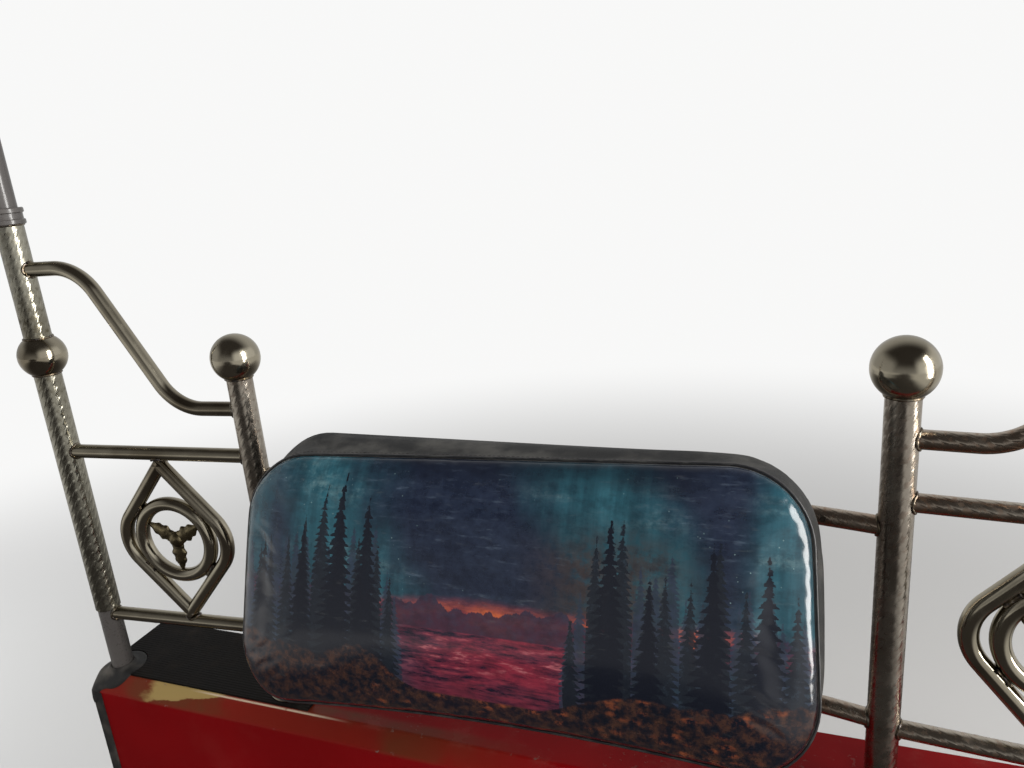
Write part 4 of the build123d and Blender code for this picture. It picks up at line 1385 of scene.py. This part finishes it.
# Rubber angle strips cover the bulkhead's two front corners, from the floor flange up to the boots
cornerStrip = {"fit": 0.0001, "thick": 0.0016, "onFace": 0.0135, "onCheek": 0.0120, "bend": 0.001,
               "bendSteps": 6, "lowZ": 0.0022, "highZ": 0.3815, "ripple": 0.0002, "rows": 40}


# The strip's section on the right, from its edge on the face round the corner to the cheek and back
def stripSection():
    outX, faceY = bulkhead["endX"] + cornerStrip["fit"], bulkhead["faceY"] - cornerStrip["fit"]
    faceEnd, cheekEnd = outX - cornerStrip["onFace"], faceY + cornerStrip["onCheek"]
    thick, bend = cornerStrip["thick"], cornerStrip["bend"]
    section = [(faceEnd, faceY), (faceEnd, faceY - thick * 0.55), (faceEnd + 0.0005, faceY - thick * 0.92),
               (faceEnd + 0.0012, faceY - thick), (outX - bend, faceY - thick)]
    for step in range(1, cornerStrip["bendSteps"] + 1):
        turn = pi / 2 * step / cornerStrip["bendSteps"]
        section.append((outX - bend + (thick + bend) * sin(turn), faceY + bend - (thick + bend) * cos(turn)))
    return section + [(outX + thick, cheekEnd - 0.0012), (outX + thick * 0.92, cheekEnd - 0.0005),
                      (outX + thick * 0.55, cheekEnd), (outX, cheekEnd), (outX, faceY)]


for name, side in sides:
    grid = []
    for row in range(cornerStrip["rows"] + 1):
        part = row / cornerStrip["rows"]
        height = cornerStrip["lowZ"] + (cornerStrip["highZ"] - cornerStrip["lowZ"]) * part
        ripple = noise.noise(Vector((part * 9.0, side * 2.0, 0.4))) * cornerStrip["ripple"]
        grid.append([(side * (x - ripple * (x < bulkhead["endX"] + cornerStrip["fit"])), y, height)
                     for x, y in stripSection()])
    mesh = closedUp(gridMesh(f"corner_strip_{name}", grid, evenLayout(0.001, 0.009)))
    settle(meshObject(f"corner_strip_{name}", mesh, rubber, 35.0), "black_rubber")


# Boots: a thick rubber flange round each pillar's foot, draped over the fold and drawn out to its
# corner strip; the profile's pairs are a share of the way out and a height over the sheet
boot = {"flangeR": 0.0284, "boreR": 0.0128, "drape": 0.0035, "underDrape": 0.0012, "steepness": 5.0,
        "endDrop": 0.9, "endLead": 0.0005, "cornerReach": 0.0141, "cornerTurn": -53.0, "cornerWidth": 17.0,
        "dimple": 0.0005, "dimplePitch": 0.012, "columns": 96,
        "profile": ((0.00, 0.0064), (0.03, 0.0075), (0.08, 0.0079), (0.12, 0.0075), (0.15, 0.0063),
                    (0.20, 0.0050), (0.30, 0.0041), (0.45, 0.0036), (0.60, 0.0033), (0.75, 0.0032),
                    (0.86, 0.0031), (0.94, 0.0029), (0.98, 0.0022), (1.00, 0.0012), (0.995, 0.0002),
                    (0.80, 0.0001), (0.40, 0.0001), (0.00, 0.0001))}


# Height of the sheet under a boot, with its folds softened as thick rubber softens them
def sheetHeight(x, y, soft):
    past = bulkhead["shelfFrontY"] - y
    fall = (past + sqrt(past * past + soft * soft)) / 2 + max(bulkhead["faceY"] - y, 0.0) * boot["steepness"]
    return bulkhead["shelfZ"] - fall - max(x - bulkhead["endX"] + boot["endLead"], 0.0) * boot["endDrop"]


def bootPoint(side, turn, share, rise):
    fromCorner = ((degrees(turn) - boot["cornerTurn"] + 180) % 360 - 180) / boot["cornerWidth"]
    widest = boot["flangeR"] + boot["cornerReach"] * exp(-fromCorner**2)
    reach = boot["boreR"] + (widest - boot["boreR"]) * share
    x, y = bay["pillarX"] + reach * cos(turn), bay["pillarY"] + reach * sin(turn)
    dimple = noise.noise(Vector((x / boot["dimplePitch"], y / boot["dimplePitch"], side))) * boot["dimple"]
    base = sheetHeight(x, y, boot["drape"] if rise > 0.001 else boot["underDrape"])
    return (side * x, y, base + rise + dimple * (rise > 0.002))


for name, side in sides:
    turns = [2 * pi * column / boot["columns"] for column in range(boot["columns"])]
    grid = [[bootPoint(side, turn, share, rise) for turn in turns] for share, rise in boot["profile"]]
    mesh = closedUp(gridMesh(f"boot_flange_{name}", grid, evenLayout(0.001, 0.001), True))
    settle(meshObject(f"boot_flange_{name}", mesh, rubber, 50.0), "black_rubber", f"pillar_boot_{name}")
print("stage: boots and corner strips made")


# Carried-over nodes that keep their own shape get their finish
carried = {"rear_panel": redPaint, "end_cheek_left": redPaint, "end_cheek_right": redPaint,
           "inner_web_left": primer, "inner_web_right": primer, "backrest_board": plyBoard,
           "backrest_bracket_left": blackTube, "backrest_bracket_right": blackTube,
           "post_foot_left": steel, "post_foot_right": steel, "shelf_mat": matRubber, "front_panel": redPaint}
for node, material in carried.items():
    nodes[node].data.materials.clear()
    nodes[node].data.materials.append(material)


# Floor, backdrop and lamps; haze, farHaze and dim are what polished metal mirrors of them
studio = {"floorR": 9.0, "floorSides": 96, "pale": rgb(0.50, 0.49, 0.475), "white": rgb(0.94, 0.94, 0.935),
          "dim": rgb(0.050, 0.045, 0.042), "haze": rgb(0.055, 0.050, 0.047), "farHaze": rgb(0.66, 0.65, 0.63),
          "besideShare": 0.90, "behindShare": 0.60, "horizonShare": 0.30,
          "ambientTint": rgb(0.95, 0.97, 1.0), "ambient": 0.45}


# The floor takes the shadow near the object and fades to the backdrop's white further out
def makeFloor():
    mesh = bpy.data.meshes.new("floor")
    disc = bmesh.new()
    bmesh.ops.create_circle(disc, cap_ends=True, segments=studio["floorSides"], radius=studio["floorR"])
    disc.to_mesh(mesh)
    disc.free()
    floor = bpy.data.objects.new("floor", mesh)
    scene.collection.objects.link(floor)
    material, paint = startMaterial("paleFloor")
    x, y = paint.place().parts()[:2]
    rays = paint.node("ShaderNodeLightPath").outputs()
    direct = rays["Is Camera Ray"].most(rays["Is Transmission Ray"])
    farOut = ((x ** 2.0 + y ** 2.0) ** 0.5).rise(0.9, 2.9).most(rays["Is Glossy Ray"])
    openAir = y.rise(0.3, 2.6).most(x.rise(0.70, 1.35)).most(x.rise(-1.0, -2.8))
    mirrored = paint.blend(studio["haze"], studio["farHaze"], openAir)
    paper = paint.node("ShaderNodeBsdfPrincipled", None, {"Base Color": studio["pale"], "Roughness": 0.75})
    white = paint.node("ShaderNodeEmission", None,
                       {"Color": paint.blend(mirrored, studio["white"], direct), "Strength": 1.0})
    mixed = paint.node("ShaderNodeMixShader", None, {0: farOut, 1: paper, 2: white})
    paint.node("ShaderNodeOutputMaterial", None, {"Surface": mixed})
    mesh.materials.append(material)


# The eye sees white; metal mirrors bright air beside and behind the piece and darkness elsewhere
def makeWorld():
    world = bpy.data.worlds.new("studio")
    scene.world = world
    world.use_nodes = True
    world.node_tree.nodes.clear()
    sky = Shade(world.node_tree)
    rays = sky.node("ShaderNodeLightPath").outputs()
    direct = rays["Is Camera Ray"].most(rays["Is Transmission Ray"])
    seen = rays["Is Glossy Ray"].most(direct)
    dirX, dirY, dirZ = sky.node("ShaderNodeTexCoord").parts()
    beside = dirX.rise(0.26, 0.70).most(dirX.rise(-0.36, -0.84) * 0.50) * dirZ.rise(0.80, 0.36)
    mirrored = (beside * studio["besideShare"]).most(dirY.rise(0.0, 0.8) * studio["behindShare"])
    mirrored = mirrored.most(dirZ.rise(0.55, -0.05) * studio["horizonShare"])
    colour = sky.blend(sky.blend(studio["dim"], studio["white"], mirrored), studio["white"], direct)
    ambient = sky.node("ShaderNodeBackground", None,
                       {"Color": studio["ambientTint"], "Strength": studio["ambient"]})
    backdrop = sky.node("ShaderNodeBackground", None, {"Color": colour, "Strength": 1.0})
    mixed = sky.node("ShaderNodeMixShader", None, {0: seen, 1: ambient, 2: backdrop})
    sky.node("ShaderNodeOutputWorld", None, {"Surface": mixed})


def lamp(name, spot, target, wide, high, power, tint, mirrored=True):
    data = bpy.data.lights.new(name, "AREA")
    data.shape = "RECTANGLE"
    data.size, data.size_y = wide, high
    data.energy = power
    data.color = tint
    light = bpy.data.objects.new(name, data)
    light.location = spot
    light.rotation_euler = (Vector(target) - Vector(spot)).to_track_quat("-Z", "Y").to_euler()
    light.visible_glossy = mirrored
    scene.collection.objects.link(light)


makeFloor()
makeWorld()
lamp("openSideRight", (1.85, -0.30, 1.05), (0, 0, 0.62), 0.60, 1.7, 46, (1.0, 0.985, 0.96))
lamp("openSideLeft", (-1.85, -0.20, 0.95), (0, 0, 0.62), 0.95, 1.7, 20, (0.95, 0.98, 1.0), False)
lamp("topSoft", (0.1, -1.35, 1.95), (0, 0, 0.5), 1.6, 1.0, 36, (1.0, 1.0, 1.0), False)
print("stage: studio made")
